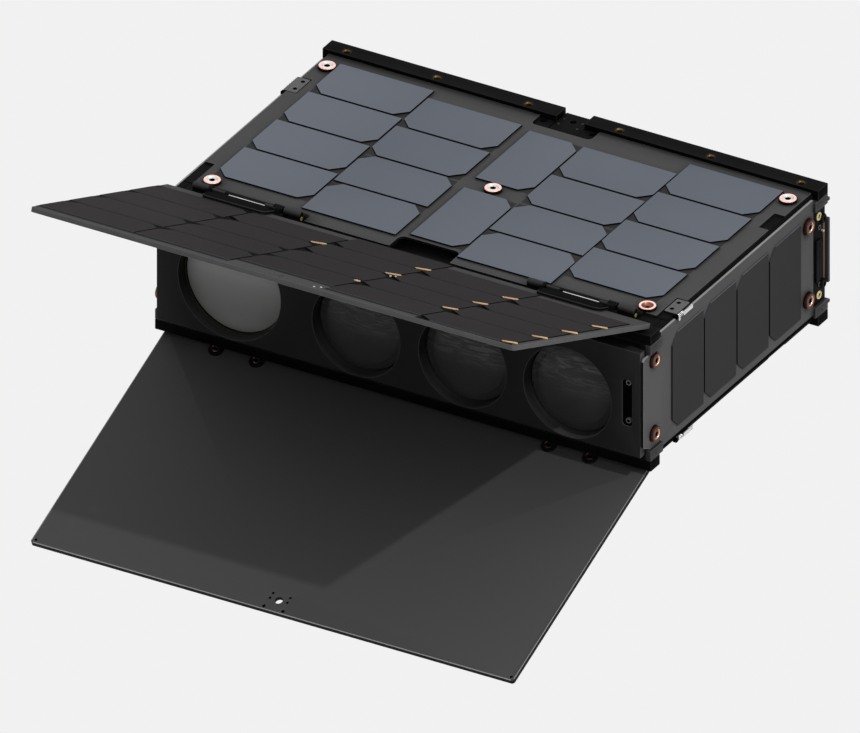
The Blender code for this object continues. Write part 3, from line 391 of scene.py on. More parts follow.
BRASS_LIGHT = surface("brass_washer", (0.55, 0.48, 0.22), (0.75, 0.66, 0.34), 0.3, 0.1, 0.5, cloud=200)
YELLOW = surface("yellow_ring", (0.22, 0.20, 0.015), (0.32, 0.29, 0.03), 0.4, 0.06, cloud=200)
OLIVE = surface("filter_rim", (0.034, 0.029, 0.009), (0.052, 0.044, 0.016), 0.4, metallic=0.4, cloud=60)

# Lenses
PALE_GLASS = surface(
    "lens_pale_glass", grey(0.163, 0.16), grey(0.183, 0.18), 0.45, 0.05, cloud=60, specular=0.15
)
GLASS = lens_surface("lens_dark_glass", grey(0.025, 0.0252), grey(0.032, 0.0323), grey(0.1, 0.101), 0.30)

# Painted shade on the panel and end boards beside the cells and parts that stand on them
shade_near_edges(BOARD, 0.014, 0.90, 0.30)
shade_near_edges(END_BOARD, 0.006, 0.75, 0.4)
# Painted light: the pale glass of the first lens is lightened, and lighter still towards its top.
fade_along(PALE_GLASS, "Z", -0.034, 0.004, 3.0, grey(0.275, 0.272))
# Painted light: the housing lighter towards its right end.
fade_along(HOUSING, "X", 0.150, 0.176, 1.0, grey(0.0145, 0.0148))
fade_along(CELL_X, "X", -0.090, -0.240, 1.0, (0.112, 0.126, 0.157))
# Painted shade: the bore walls darker towards the top.
fade_along(BORE, "Z", -0.030, -0.008, 1.0, grey(0.008))
# Painted light: the flap boards lighter towards their free edges.
fade_along(FLAP_BOARD, "Y", -0.03, -0.19, 1.0, grey(0.045, 0.0453))
# Painted light: the end boards lighter towards their front tongues.
fade_along(END_BOARD, "Y", -0.090, -0.105, 1.0, grey(0.062, 0.0624))


# Shapes
def take_in(target, source, matrix=SAME):
    """Adds one shape to another, placed by a matrix."""
    bmesh.ops.transform(source, matrix=matrix, verts=source.verts)
    if matrix.determinant() < 0:
        bmesh.ops.reverse_faces(source, faces=source.faces)
    mesh = bpy.data.meshes.new("part")
    source.to_mesh(mesh)
    source.free()
    target.from_mesh(mesh)
    bpy.data.meshes.remove(mesh)


def axis_matrix(axis):
    """Takes a shape drawn flat in X and Y to the plane across an axis."""
    if axis == "X":
        return Matrix(((0, 0, 1, 0), (1, 0, 0, 0), (0, 1, 0, 0), (0, 0, 0, 1)))
    if axis == "Y":
        return Matrix(((1, 0, 0, 0), (0, 0, 1, 0), (0, 1, 0, 0), (0, 0, 0, 1)))
    return SAME


def plate(
    target, outline, low, high, top=0, side=None, axis="Z", edge=0.0, edge_material=-1, holes=(),
    under=None,
):
    """A flat plate: an outline with holes between two heights, its edges softened."""
    shape = bmesh.new()
    loops = []
    for points in (outline, *holes):
        ring = [shape.verts.new((a, b, low)) for a, b in points]
        loops += [shape.edges.new(pair) for pair in zip(ring, ring[1:] + ring[:1])]
    if holes:
        bmesh.ops.triangle_fill(shape, use_beauty=True, use_dissolve=False, edges=loops)
    else:
        shape.faces.new(list(shape.verts))
    raised = bmesh.ops.extrude_face_region(shape, geom=list(shape.faces), use_keep_orig=True)
    moved = [v for v in raised["geom"] if isinstance(v, bmesh.types.BMVert)]
    bmesh.ops.translate(shape, verts=moved, vec=(0, 0, high - low))
    bmesh.ops.recalc_face_normals(shape, faces=shape.faces)
    upward = 1 if high > low else -1
    for face in shape.faces:
        face.material_index = top
        if abs(face.normal.z) < 0.9:
            face.material_index = top if side is None else side
        elif face.normal.z * upward < 0 and under is not None:
            face.material_index = under
    if edge:
        sharp = [e for e in shape.edges if len(e.link_faces) == 2 and e.calc_face_angle(0) > SHARP_EDGE]
        bmesh.ops.bevel(
            shape, geom=sharp, offset=edge, segments=2, affect="EDGES", profile=0.6,
            material=edge_material, clamp_overlap=True,
        )
    take_in(target, shape, axis_matrix(axis))


def rectangle(left, front, right, rear):
    return [(left, front), (right, front), (right, rear), (left, rear)]


def block(target, low, high, material=0, edge=0.0, edge_material=-1):
    """A box between two corners with softened edges."""
    outline = rectangle(low[0], low[1], high[0], high[1])
    plate(target, outline, low[2], high[2], material, edge=edge, edge_material=edge_material)


def lathe(target, profile, centre=(0, 0, 0), axis="Z", facing=1, steps=32):
    """Turns a profile of (radius, height, material) about an axis; the material covers what follows."""
    shape = bmesh.new()
    rows = []
    for radius, height, _ in profile:
        if radius < 1e-4:
            rows.append([shape.verts.new((0, 0, height))] * steps)
            continue
        angles = [2 * pi * step / steps for step in range(steps)]
        rows.append([shape.verts.new((radius * cos(a), radius * sin(a), height)) for a in angles])
    for (first, second), (_, _, material) in zip(zip(rows, rows[1:]), profile):
        for step in range(steps):
            after = (step + 1) % steps
            corners = list(dict.fromkeys((first[step], second[step], second[after], first[after])))
            if len(corners) > 2:
                shape.faces.new(corners).material_index = material
    bmesh.ops.recalc_face_normals(shape, faces=shape.faces)
    place = Matrix.Translation(centre) @ axis_matrix(axis) @ Matrix.Diagonal((1, 1, facing, 1))
    take_in(target, shape, place)


def rod(target, radius, start, end, material, centre, steps, bevel=0.0):
    """A solid pin along X, its ends tapered over the bevel."""
    profile = [(0, start, material), (radius, start + bevel, material), (radius, end - bevel, material)]
    lathe(target, profile + [(0, end, material)], centre, "X", 1, steps)


def coil(target, place, length, radius, wire, turns, material):
    """A helical spring that starts at a place and runs along its X axis."""
    shape = bmesh.new()
    rings = []
    total = int(turns * COIL_STEPS)
    for step in range(total + 1):
        angle = 2 * pi * step / COIL_STEPS
        outward = Vector((0, cos(angle), sin(angle)))
        centre = Vector((length * step / total, radius * cos(angle), radius * sin(angle)))
        around = [2 * pi * side / COIL_SIDES for side in range(COIL_SIDES)]
        round_wire = [wire * (cos(a) * outward + sin(a) * Vector((1, 0, 0))) for a in around]
        rings.append([shape.verts.new(centre + offset) for offset in round_wire])
    for first, second in zip(rings, rings[1:]):
        for side in range(COIL_SIDES):
            after = (side + 1) % COIL_SIDES
            shape.faces.new((first[side], first[after], second[after], second[side]))
    shape.faces.new(rings[0][::-1])
    shape.faces.new(rings[-1])
    bmesh.ops.recalc_face_normals(shape, faces=shape.faces)
    for face in shape.faces:
        face.material_index = material
    take_in(target, shape, place)


def circle(x, y, radius, steps=24):
    angles = [2 * pi * step / steps for step in range(steps)]
    return [(x + radius * cos(a), y + radius * sin(a)) for a in angles]


def rounded(corners, radius, steps=5):
    """An outline's corners as arcs; a third value of a corner is its own radius."""
    made = []
    for index, corner in enumerate(corners):
        here = Vector(corner[:2])
        size = corner[2] if len(corner) > 2 else radius
        before = (Vector(corners[index - 1][:2]) - here).normalized()
        after = (Vector(corners[(index + 1) % len(corners)][:2]) - here).normalized()
        opening = before.angle(after)
        reach = size * cos(opening / 2) / sin(opening / 2)
        centre = here + (before + after).normalized() * (size / sin(opening / 2))
        start = here + before * reach - centre
        sweep = (here + after * reach - centre).angle_signed(start)
        for step in range(steps + 1):
            made.append(tuple(centre + Matrix.Rotation(sweep * step / steps, 2) @ start))
    return made


def grown(outline, by):
    """A convex outline moved outward on every side, whichever way round it goes."""
    points = [Vector(point) for point in outline]
    middle = sum(points, Vector((0, 0))) / len(points)
    made = []
    for before, here, after in zip(points[-1:] + points[:-1], points, points[1:] + points[:1]):
        normals = []
        for a, b in ((before, here), (here, after)):
            normal = Vector(((b - a).y, (a - b).x)).normalized()
            if normal.dot((a + b) / 2 - middle) < 0:
                normal = -normal
            normals.append(normal)
        both = (normals[0] + normals[1]).normalized()
        made.append(tuple(here + both * (by / both.dot(normals[0]))))
    return made


def cell(left, front, size_x, size_y, crops, crop=CROP):
    """A cell's outline; crops names the side with its two cropped corners."""
    right, rear = left + size_x, front + size_y
    if crops == "F":
        cut = [(left, front + crop), (left + crop, front), (right - crop, front), (right, front + crop)]
        return [(left, rear), *cut, (right, rear)]
    if crops == "R":
        cut = [(right, rear - crop), (right - crop, rear), (left + crop, rear), (left, rear - crop)]
        return [(left, front), (right, front), *cut]
    cut = [(right - crop, front), (right, front + crop), (right, rear - crop), (right - crop, rear)]
    return [(left, front), *cut, (left, rear)]


def piece(name, shape, body, materials, place=SAME, replaces=(), sharp=35):
    """Makes the named object of a finished shape, placed by a matrix, riding on its body."""
    bmesh.ops.transform(shape, matrix=Matrix.Scale(MM, 4) @ place, verts=shape.verts)
    if place.determinant() < 0:
        bmesh.ops.reverse_faces(shape, faces=shape.faces)
    mesh = bpy.data.meshes.new(name)
    shape.to_mesh(mesh)
    shape.free()
    for material in materials:
        mesh.materials.append(material)
    mesh.shade_smooth()
    mesh.set_sharp_from_angle(angle=radians(sharp))
    made = bpy.data.objects.new(name, mesh)
    bpy.context.scene.collection.objects.link(made)
    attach(made, body)
    if replaces:
        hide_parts(*replaces)


# Small hardware
def screw(target, centre, axis, facing, radius, height, head, recess):
    """A round screw head with a hexagon socket."""
    lathe(
        target,
        [
            (radius, 0, head), (radius, height * 0.75, head), (radius * 0.86, height, head),
            (radius * 0.64, height, head), (radius * 0.59, height * 0.9, recess),
        ],
        centre, axis, facing, 24,
    )
    socket = [(radius * 0.60, height * 0.96, recess), (radius * 0.55, height * 0.15, recess)]
    lathe(target, socket + [(0, height * 0.1, recess)], centre, axis, facing, 6)


def bushing(target, centre, axis, height, radius, empty=False):
    """A copper ring with a tapered mouth and a screw in it. Materials: ring, painted shade in the mouth,
    steel, painted shade in the hole, and a painted highlight on a band of the cone.
    """
    r, h = radius, height
    ring = [
        (r + 0.45, 0.0, 3), (r + 0.45, 0.25, 3), (r - 0.1, 0.3, 1), (r, 0.5, 1), (r, h - 0.35, 0),
        (r - 0.3, h, 0),
    ]
    if empty:
        lathe(target, ring + [(r - 1.3, h, 0), (r - 1.6, h - 0.2, 1)], centre, axis, 1, 40)
        mouth = [(r - 1.55, h - 0.18, 1), (r - 2.6, h - 1.2, 1), (1.6, 0.4, 3), (0, 0.3, 3)]
        lathe(target, mouth, centre, axis, 1, 8)
        return
    cone = [(r - 1.6, h, 0), (r - 1.8, h - 0.15, 4), (r - 2.4, h - 0.9, 1), (r - 2.6, 0.5, 3), (0, 0.45, 3)]
    lathe(target, ring + cone, centre, axis, 1, 40)
    base = list(centre)
    base["XYZ".index(axis)] += 0.5
    screw(target, base, axis, 1, r - 2.35, h - 0.95, 2, 3)


# Top and bottom
# The right side of a panel from front to rear: X, Y and corner radius
PANEL_SIDE = [
    (NOTCH_X, PANEL_FRONT, 0.5), (NOTCH_X, -58.0, 1.0), (PANEL_HALF, -58.0, 0.5),
    (PANEL_HALF, 46.0, 0.5), (NOTCH_X, 46.0, 1.0), (NOTCH_X, 66.5, 1.0), (PANEL_HALF, 66.5, 0.5),
    (PANEL_HALF, PANEL_REAR, 0.5),
]
PANEL_OUTLINE = rounded(
    [
        (MIDDLE_GAP, LIP_FRONT, 0.8), (LIP_RIGHT, LIP_FRONT, 0.3), (LIP_RIGHT, PANEL_FRONT, 0.3),
        *PANEL_SIDE, (22.0, PANEL_REAR, 0.5), (22.0, 88.2, 3.5), (-22.0, 88.2, 3.5), (-22.0, PANEL_REAR, 0.5),
        *((-x, y, radius) for x, y, radius in reversed(PANEL_SIDE)),
        (LIP_LEFT, PANEL_FRONT, 0.3), (LIP_LEFT, LIP_FRONT, 0.3), (-MIDDLE_GAP, LIP_FRONT, 0.8),
        (-MIDDLE_GAP, -77.0, 4.5), (MIDDLE_GAP, -77.0, 4.5),
    ],
    1.0,
)
# Left end, rear edge of the first row, and for each row F or R, the side with the cropped corners
TOP_COLUMNS = ((-164.3, 92.1, "FFFF"), (-93.9, 82.4, "FFRR"), (23.3, 77.9, "FFRR"), (93.2, 92.7, "FFFF"))
TURNED_CELLS = ((-17.0, 8.9), (-17.0, -74.5))
EMPTY_BUSHING = (160.6, -78.8)
TOP_BUSHINGS = ((-170, 84.5), (170, 84.5), (0, 2.0), (-160.6, -78.8), EMPTY_BUSHING)
# In the top bushings the second steel is the painted highlight on a band of the cone.
BUSHING_KIT = [COPPER, COPPER_DARK, STEEL, HOLE, STEEL]


def top_cell(shape, left, front, size_x, size_y, crops, material):
    """A cell on a panel, with a painted shade on its board under the cropped corners."""
    outline = cell(left + 0.1, front + 0.1, size_x, size_y, crops)
    top = PANEL_TOP + TOP_CELL_HEIGHT
    plate(shape, outline, PANEL_TOP - SEAT, top, material, 2, edge=0.05, edge_material=2)
    under = rectangle(left, front, left + size_x, front + size_y)
    plate(shape, under, PANEL_TOP - SEAT, PANEL_TOP + 0.03, 3)


def make_panel(place, level):
    shape = bmesh.new()
    plate(shape, PANEL_OUTLINE, PANEL_BOTTOM, PANEL_TOP, 0, 2, edge=0.2, edge_material=1)
    for side in (-1, 1):
        ends = sorted((side * 170.2, side * PANEL_HALF))
        for low, high in ((45.8, 66.7), (-84.0, -57.8)):
            block(shape, (ends[0], low, PANEL_BOTTOM - 0.4), (ends[1], high, PANEL_BOTTOM + SEAT), 3)
    materials = [BOARD, BOARD_EDGE, BOARD_SIDE, BLACK]
    piece(f"{level}_panel_board", shape, "bus", materials, place, [f"{level}_panel"])
    shape = bmesh.new()
    for left, rear, crops in TOP_COLUMNS:
        for row, crop in enumerate(crops):
            front = rear - row * TOP_PITCH - CELL_WIDE
            top_cell(shape, left, front, TOP_LONG, TOP_WIDE, crop, 0)
    for left, front in TURNED_CELLS:
        top_cell(shape, left, front, TOP_WIDE, TOP_LONG, "right", 1)
    piece(f"{level}_solar_cells", shape, "bus", [CELL_X, CELL_Y, CELL_SIDE, BOARD_SHADE], place)
    shape = bmesh.new()
    for x, y in TOP_BUSHINGS:
        bushing(shape, (x, y, PANEL_TOP), "Z", 2.2, 5.6, empty=(x, y) == EMPTY_BUSHING)
    piece(f"{level}_bushings", shape, "bus", BUSHING_KIT, place)
    # Black sheets under the panel keep light out of the open inside: painted shade.
    shape = bmesh.new()
    block(shape, (-172, 80, 41.4), (172, 81, PANEL_BOTTOM + SEAT))
    for side in (-1, 1):
        block(shape, (side * 160 - 0.5, -76, 44.0), (side * 160 + 0.5, 80, PANEL_BOTTOM + SEAT))
    piece(f"{level}_panel_light_seal", shape, "bus", [BLACK], place)


def make_rails(place, level):
    for end, word in ((SAME, "right"), (ACROSS, "left")):
        shape = bmesh.new()
        holes = [circle(x, RAIL_HOLE_Y, 3.2) for x in RAIL_HOLES]
        bar = rectangle(10.3, 100.9, HALF_LENGTH, HALF_DEPTH)
        plate(shape, bar, RAIL_BOTTOM, HALF_HEIGHT, 0, 4, edge=0.35, edge_material=1, holes=holes, under=4)
        block(shape, (MIDDLE_GAP, 95.4, RAIL_BOTTOM), (174.0, 101.3, RAIL_FLANGE_TOP), 0, 0.2)
        insert = [(3.22, 42.7, 2), (3.22, 49.4, 2), (2.9, 49.55, 2), (2.15, 48.6, 2), (2.0, 43.5, 3)]
        for x in RAIL_HOLES:
            lathe(shape, insert + [(0, 43.4, 3)], (x, RAIL_HOLE_Y, 0), steps=28)
        materials = [BLACK, BLACK_EDGE, BRASS, HOLE, BLACK_SIDE]
        rail = f"rear_{level}_rail_{word}"
        piece(rail + "_bar", shape, "bus", materials, place @ end, [rail])
    shape = bmesh.new()
    bar = rectangle(-HALF_LENGTH, -HALF_DEPTH, HALF_LENGTH, -101.65)
    plate(shape, bar, RAIL_BOTTOM, HALF_HEIGHT, 0, 2, edge=0.3, edge_material=1, under=2)
    half = [(174.0, -102.2), (174.0, RAIL_FLANGE_REAR), (MIDDLE_GAP, RAIL_FLANGE_REAR), (MIDDLE_GAP, -92.6)]
    flange = half + [(-x, y) for x, y in reversed(half)]
    plate(shape, flange, RAIL_BOTTOM, RAIL_FLANGE_TOP, 0, edge=0.2)
    rail = f"front_{level}_rail"
    piece(rail + "_bar", shape, "bus", [BLACK, BLACK_EDGE, BLACK_SIDE], place, [rail])


def make_hold_down(place, level):
    shape = bmesh.new()
    wings = rounded([(-21.7, 88.6, 4.0), (21.7, 88.6, 4.0), (21.7, 100.55, 0.4), (-21.7, 100.55, 0.4)], 1)
    holes = [circle(x, 97.9, 2.4) for x in (-18.4, 18.4)]
    plate(shape, wings, 42.8, 45.8, 0, 0, edge=0.3, edge_material=1, holes=holes)
    plate(shape, rounded(rectangle(-21.7, 82.8, 21.7, 92), 1), RAIL_BOTTOM, 45.3, 0)
    middle = rectangle(-9.6, 88.9, 10.0, HALF_DEPTH)
    plate(shape, middle, 43.2, 46.4, 0, edge=0.25, edge_material=1, holes=[circle(0, 104.6, 2.4)])
    block(shape, (-11.0, 88.8, 45.0), (-9.4, 100.5, 45.95), 3)
    for x in (-18.4, 18.4):
        lathe(shape, [(2.42, 43.1, 3), (0, 43.1, 3)], (x, 97.9, 0))
    lathe(shape, [(2.42, 43.2, 3), (0, 43.3, 3)], (0, 104.6, 0))
    for x, y in ((-7.1, 105.4), (-7.1, 98.1), (6.6, 105.2), (6.6, 97.9)):
        lathe(shape, [(0.75, 46.3, 2), (0.7, 46.5, 2), (0.35, 46.5, 3), (0, 46.35, 3)], (x, y, 0), steps=14)
    materials = [BLACK, BLACK_EDGE, BRASS, HOLE, STEEL_DARK]
    name = f"{level}_hold_down"
    piece(name + "_block", shape, "bus", materials, place, [name])


# Ends
TONGUE_FRONTS = {"left": -113.0, "right": -119.5}
END_CELL_FRONTS = (-83.7, -42.2, -0.6, 40.9)
END_BUSHINGS = ((89.9, 28.9), (89.9, -25.3), (-106.5, 28.9), (-106.5, -25.3))


def make_end(place, word):
    shape = bmesh.new()
    tip = TONGUE_FRONTS[word]
    outline = rounded(
        [
            (97.4, -42.2, 0.6), (97.4, 44.75, 0.6), (-97.1, 44.75, 0.6), (-97.1, 34.7, 0.5), (tip, 34.7, 2.4),
            (tip, -30.5, 1.0), (tip + 8.3, -34.7, 1.0), (-97.1, -34.7, 0.5), (-97.1, -42.2, 0.6),
        ],
        1,
    )
    # Painted highlight on the end board's bevels in the flap rim tone; its front faces take the painted shade
    # of the board side.
    plate(shape, outline, 179.6, END_FACE, 0, 1, "X", 0.25, 1)
    for face in shape.faces:
        if face.normal.y < -0.9:
            face.material_index = 2
    block(shape, (181.0, -96.9, -42.25), (END_FACE + 0.05, 97.3, -40.2), 3)
    materials = [END_BOARD, FLAP_RIM, BOARD_SIDE, HOLE]
    piece(f"{word}_end_board", shape, "bus", materials, place, [f"{word}_end_panel"])
    shape = bmesh.new()
    for front in END_CELL_FRONTS:
        upright = cell(-34.35, front, 69.3, CELL_WIDE, "F", 7.4)
        plate(shape, [(y, z) for z, y in upright], END_FACE - SEAT, END_FACE + END_CELL_HEIGHT, 0, 1, "X")
    # Upward faces of the end cells get the painted highlight.
    for face in shape.faces:
        if face.normal.z > 0.5:
            face.material_index = 2 if face.normal.z > 0.9 else 3
    piece(f"{word}_end_cells", shape, "bus", [END_CELL, CELL_SIDE, END_CELL_EDGE, END_CELL_CROP], place)
    shape = bmesh.new()
    for y, z in END_BUSHINGS:
        bushing(shape, (END_FACE, y, z), "X", 2.7, 5.3)
    materials = [COPPER_METAL, COPPER_DARK, STEEL_DARK, HOLE, COPPER_LIGHT]
    piece(f"{word}_end_bushings", shape, "bus", materials, place)
    shape = bmesh.new()
    frame_edge = [
        (-101.3, -45.6), (PANEL_REAR, -45.6),
        *rectangle(PANEL_REAR, -FRAME_HALF, HALF_DEPTH, FRAME_HALF), (PANEL_REAR, 45.6), (-101.3, 45.6),
        (-101.3, FRAME_HALF), (-HALF_DEPTH, FRAME_HALF), (-HALF_DEPTH, -FRAME_HALF), (-101.3, -FRAME_HALF),
    ]
    plate(shape, frame_edge, 174.3, 179.3, 3, axis="X", edge=0.25, edge_material=3)
    for side in (-1, 1):
        for low, high, hole in ((-HALF_DEPTH, -97.4, -106.7), (97.7, HALF_DEPTH, RAIL_HOLE_Y)):
            z = sorted((side * 35.3, side * FRAME_HALF))
            block(shape, (178.8, low, z[0]), (HALF_LENGTH, high, z[1]), 0, 0.35, 1)
            lathe(shape, [(0.55, 183.03, 2), (0, 183.03, 2)], (0, hole, side * 39.5), "X", 1, 14)
    materials = [FRAME, FRAME_EDGE, HOLE, BLACK]
    piece(f"{word}_end_frame_plate", shape, "bus", materials, place, [f"{word}_end_frame"])


def make_port(place, word):
    """The connector strip at the rear of an end panel."""
    shape = bmesh.new()
    block(shape, (179.6, 97.8, -34.9), (180.8, 112.6, 34.9), 0, 0.2, 1)
    block(shape, (180.6, 99.8, -18.0), (182.3, 103.2, 13.0), 2, 0.35)
    block(shape, (180.6, 103.6, -18.0), (182.0, 106.6, 12.4), 2, 0.3)
    block(shape, (180.6, 106.9, -17.0), (181.7, 109.6, 11.0), 2, 0.3)
    boss = [(3.3, 180.6, 2), (3.3, 182.3, 2), (2.8, 182.9, 2), (1.3, 182.9, 3), (0, 182.2, 3)]
    for z in (26.0, -22.0):
        lathe(shape, boss, (0, 108.8, z), "X", 1, 24)
    washer = [(2.9, 180.7, 4), (2.9, 181.3, 4), (2.5, 181.7, 4), (1.7, 181.7, 4), (1.5, 181.0, 3)]
    for z in (29.0, -29.0):
        lathe(shape, washer, (0, 104.8, z), "X", 1, 28)
        lathe(shape, [(1.55, 181.0, 3), (0, 181.0, 3)], (0, 104.8, z), "X", 1, 28)
    for z in (21.0, -21.0):
        screw(shape, (180.8, 105.0, z), "X", 1, 1.8, 1.0, 5, 3)
    button = [(0.7, 180.7, 6), (0.7, 182.6, 6), (0.3, 182.9, 6), (0, 182.9, 6)]
    lathe(shape, button, (0, 108.6, 17.0), "X", 1, 16)
    block(shape, (180.4, 110.2, -20.0), (181.3, 112.0, 25.0), 7, 0.1)
    materials = [BLACK, BLACK_EDGE, CONNECTOR, HOLE, BRASS_LIGHT, STEEL_DARK, STEEL, COPPER_BOARD]
    piece(f"{word}_port_strip", shape, "bus", materials, place, [f"{word}_end_port"])


def make_clip(place, name, low, high):
    """A spring clip: a small plate with two holes, and a bright leaf over the edge of the end panel."""
    shape = bmesh.new()
    tab = rounded(rectangle(171.3, low + 0.4, 180.6, high - 0.4), 0.8)
    spots = [(174.6, low + 5.0), (174.6, high - 4.6)]
    holes = [circle(x, y, 1.5, 18) for x, y in spots]
    plate(shape, tab, PANEL_BOTTOM, 47.3, 0, 4, edge=0.2, edge_material=4, holes=holes)
    for x, y in spots:
        lathe(shape, [(1.52, 46.6, 2), (0, 46.6, 2)], (x, y, 0), steps=18)
    roll = [(180.7, 44.8), (180.7, 45.8), (182.2, 45.8), (182.2, 43.2), (181.8, 43.2), (181.7, 44.8)]
    plate(shape, rounded(roll, 0.35, 3), high + 0.6, low + 7.0, 3, 3, "Y", 0.08)
    for step in range(5):
        y = low + 8.0 + step * (high - low - 8.5) / 4
        block(shape, (180.9, y - 0.5, 45.6), (182.3, y + 0.5, 46.05), 3, 0.12)
    curl = Matrix.Translation((180.6, low + 1.4, 45.0)) @ Matrix.Rotation(pi / 2, 4, "Z")
    coil(shape, curl, 5.2, 1.35, 0.36, 3.5, 3)
    tip = [(181.3, 45.6), (182.3, 45.6), (182.3, 42.2), (181.8, 42.2), (181.5, 44.4)]
    plate(shape, rounded(tip, 0.25, 3), low + 2.6, low + 0.8, 3, 3, "Y", 0.08)
    block(shape, (178.9, low - 1.6, 44.0), (181.6, low + 1.0, 46.6), 2, 0.2)
    materials = [CLIP_PLATE, STEEL, HOLE, SPRING, BOARD_SIDE]
    piece(name + "_spring", shape, "bus", materials, place, [name])


# Front
# X, Z, bore radius, depth to the barrel, ring width, glass radius, dome height
LENSES = (
    (-124.88, 0.0, 37.8, 8.6, 0.9, 36.4, 1.2),
    (-31.29, -5.49, 32.4, 8.4, 0.9, 31.6, 4.5),
    (47.21, -5.49, 32.4, 8.4, 0.9, 31.6, 4.5),
    (124.73, -5.49, 32.4, 8.4, 0.9, 31.6, 4.5),
)


def make_housing():
    shape = bmesh.new()
    holes = [circle(x, z, radius, 96) for x, z, radius, *_ in LENSES]
    slot = rounded(rectangle(165.25, -17.2, 172.2, 16.5), 2.2)
    face = rectangle(-178.5, -38.6, 178.5, 38.6)
    plate(shape, face, HOUSING_FRONT, -113.5, 0, 0, "Y", 0.45, 1, holes + [slot], under=0)
    for side in shape.faces:
        middle = side.calc_center_median()
        # Painted shade: the sides of the slot take the black of a hole.
        if abs(side.normal.y) < 0.1 and 164 < middle.x < 173.5 and abs(middle.z) < 19:
            side.material_index = 2
        # Painted light: the housing's end faces take the lighter frame grey.
        elif abs(side.normal.x) > 0.9 and abs(middle.x) > PANEL_HALF:
            side.material_index = 5
    plate(shape, rectangle(-174, -38.2, 174, 38.2), -113.6, -107.9, axis="Y", holes=holes)
    flange = rectangle(-174, -FRAME_HALF, 174, FRAME_HALF)
    plate(shape, flange, -108.0, -102.8, axis="Y", edge=0.2, holes=holes)
    plate(shape, flange, -102.8, -98.0, axis="Y", edge=0.2)
    # Painted shade: the slot's floor in the black of a hole.
    plate(shape, rectangle(164, -19, 173.5, 18), -115.4, -113.55, 2, axis="Y")
    for z in (13.5, -14.5):
        screw(shape, (168.7, -115.4, z), "Y", -1, 2.0, 1.8, 3, 2)
    for side in shape.faces:
        middle = side.calc_center_median()
        for x, z, radius, *_ in LENSES:
            if abs(side.normal.y) < 0.1 and hypot(middle.x - x, middle.z - z) < radius + 0.1:
                side.material_index = 4
    materials = [HOUSING, HOUSING_EDGE, HOLE, SCREW_GREY, BORE, FRAME_EDGE]
    piece("front_housing_block", shape, "bus", materials, SAME, ["front_housing"])


def make_lens(index, x, z, bore, depth, ring, glass, dome):
    """The barrel's ring and the domed glass of one bore; the first has an olive rim and pale glass."""
    first = index == 1
    outer, inner = bore - 0.3, bore - 0.3 - ring
    sunk = depth if first else depth + 1.6
    rim = [(outer, 15.7, 0), (outer, sunk, 1 if first else 0), (inner + 0.2, sunk, 0), (inner, sunk + 0.2, 0)]
    shape = bmesh.new()
    lathe(shape, rim + [(inner, 15.7, 0)], (x, HOUSING_FRONT, z), "Y", 1, 96)
    barrel = f"lens_barrel_{index}"
    piece(f"lens_ring_{index}", shape, "bus", [BLACK, OLIVE], SAME, [barrel])
    if first:
        rows = [(glass, 15.5), (glass, 9.4), (glass - 0.5, 9.0)]
        edge, start = 8.95, glass - 1.2
    else:
        rows = [
            (glass, 15.5), (glass, 9.0), (glass - 0.4, 8.7), (glass - 1.7, 8.55), (glass - 1.9, 8.4),
            (glass - 4.6, 8.15), (glass - 4.9, 7.95),
        ]
        edge, start = 7.9, glass - 5.2
    for step in range(11):
        share = 1 - step / 10
        rows.append((start * share, edge - dome * 0.55 * (1 - share**2)))
    shape = bmesh.new()
    lathe(shape, [(radius, height, 0) for radius, height in rows], axis="Y", steps=96)
    place = Matrix.Translation((x, HOUSING_FRONT, z))
    glass_node = f"lens_glass_{index}"
    material = PALE_GLASS if first else GLASS
    piece(f"lens_disc_{index}", shape, "bus", [material], place, [glass_node], 30)


def make_rear():
    shape = bmesh.new()
    quarter = [
        (HALF_LENGTH, 23.6), (179.3, 23.6), (179.3, 36.5), (HALF_LENGTH, 36.5), (HALF_LENGTH, 38.7),
        (PANEL_HALF, 38.7), (PANEL_HALF, FRAME_HALF),
    ]
    top = quarter + [(-x, z) for x, z in reversed(quarter)]
    plate(shape, top + [(-x, -z) for x, z in top], 113.45, 115.7, 0, 0, "Y", 0.3, 1)
    plate(shape, rounded(rectangle(-70, -26, 70, 26), 6), 115.6, 116.3, 0, 0, "Y", 0.25, 1)
    for columns, z, y, radius, height in (
        ((-60, -20, 20, 60), 20, 116.2, 1.8, 0.8),
        ((-168, -120, 120, 168), 35, 115.6, 2.0, 0.9),
    ):
        for x in columns:
            for side in (-1, 1):
                screw(shape, (x, y, side * z), "Y", 1, radius, height, 2, 3)
    materials = [FRAME, FRAME_EDGE, STEEL_DARK, HOLE]
    piece("rear_cover", shape, "bus", materials, SAME, ["rear_panel"])


# Flaps
# Left end, hinge-side edge of the first row, and for each row F where the corners at the free
# side are cropped (these rows have a tab at the right) or R at the hinge side
FLAP_COLUMNS = (
    (-178.0, 12.6, "RRRR"),
    (-107.4, 12.6, "FRRR"),
    (-36.7, 0.7, "FFRR"),
    (34.0, 12.7, "FFFR"),
    (104.7, 21.5, "FFFF"),
)
FLAP_SCREWS = (-138.6, -108.7, 107.0, 137.3)
FREE_ROW = 3
# Cell sides further out than this stand at the flap's free edge
FREE_EDGE = -168.0


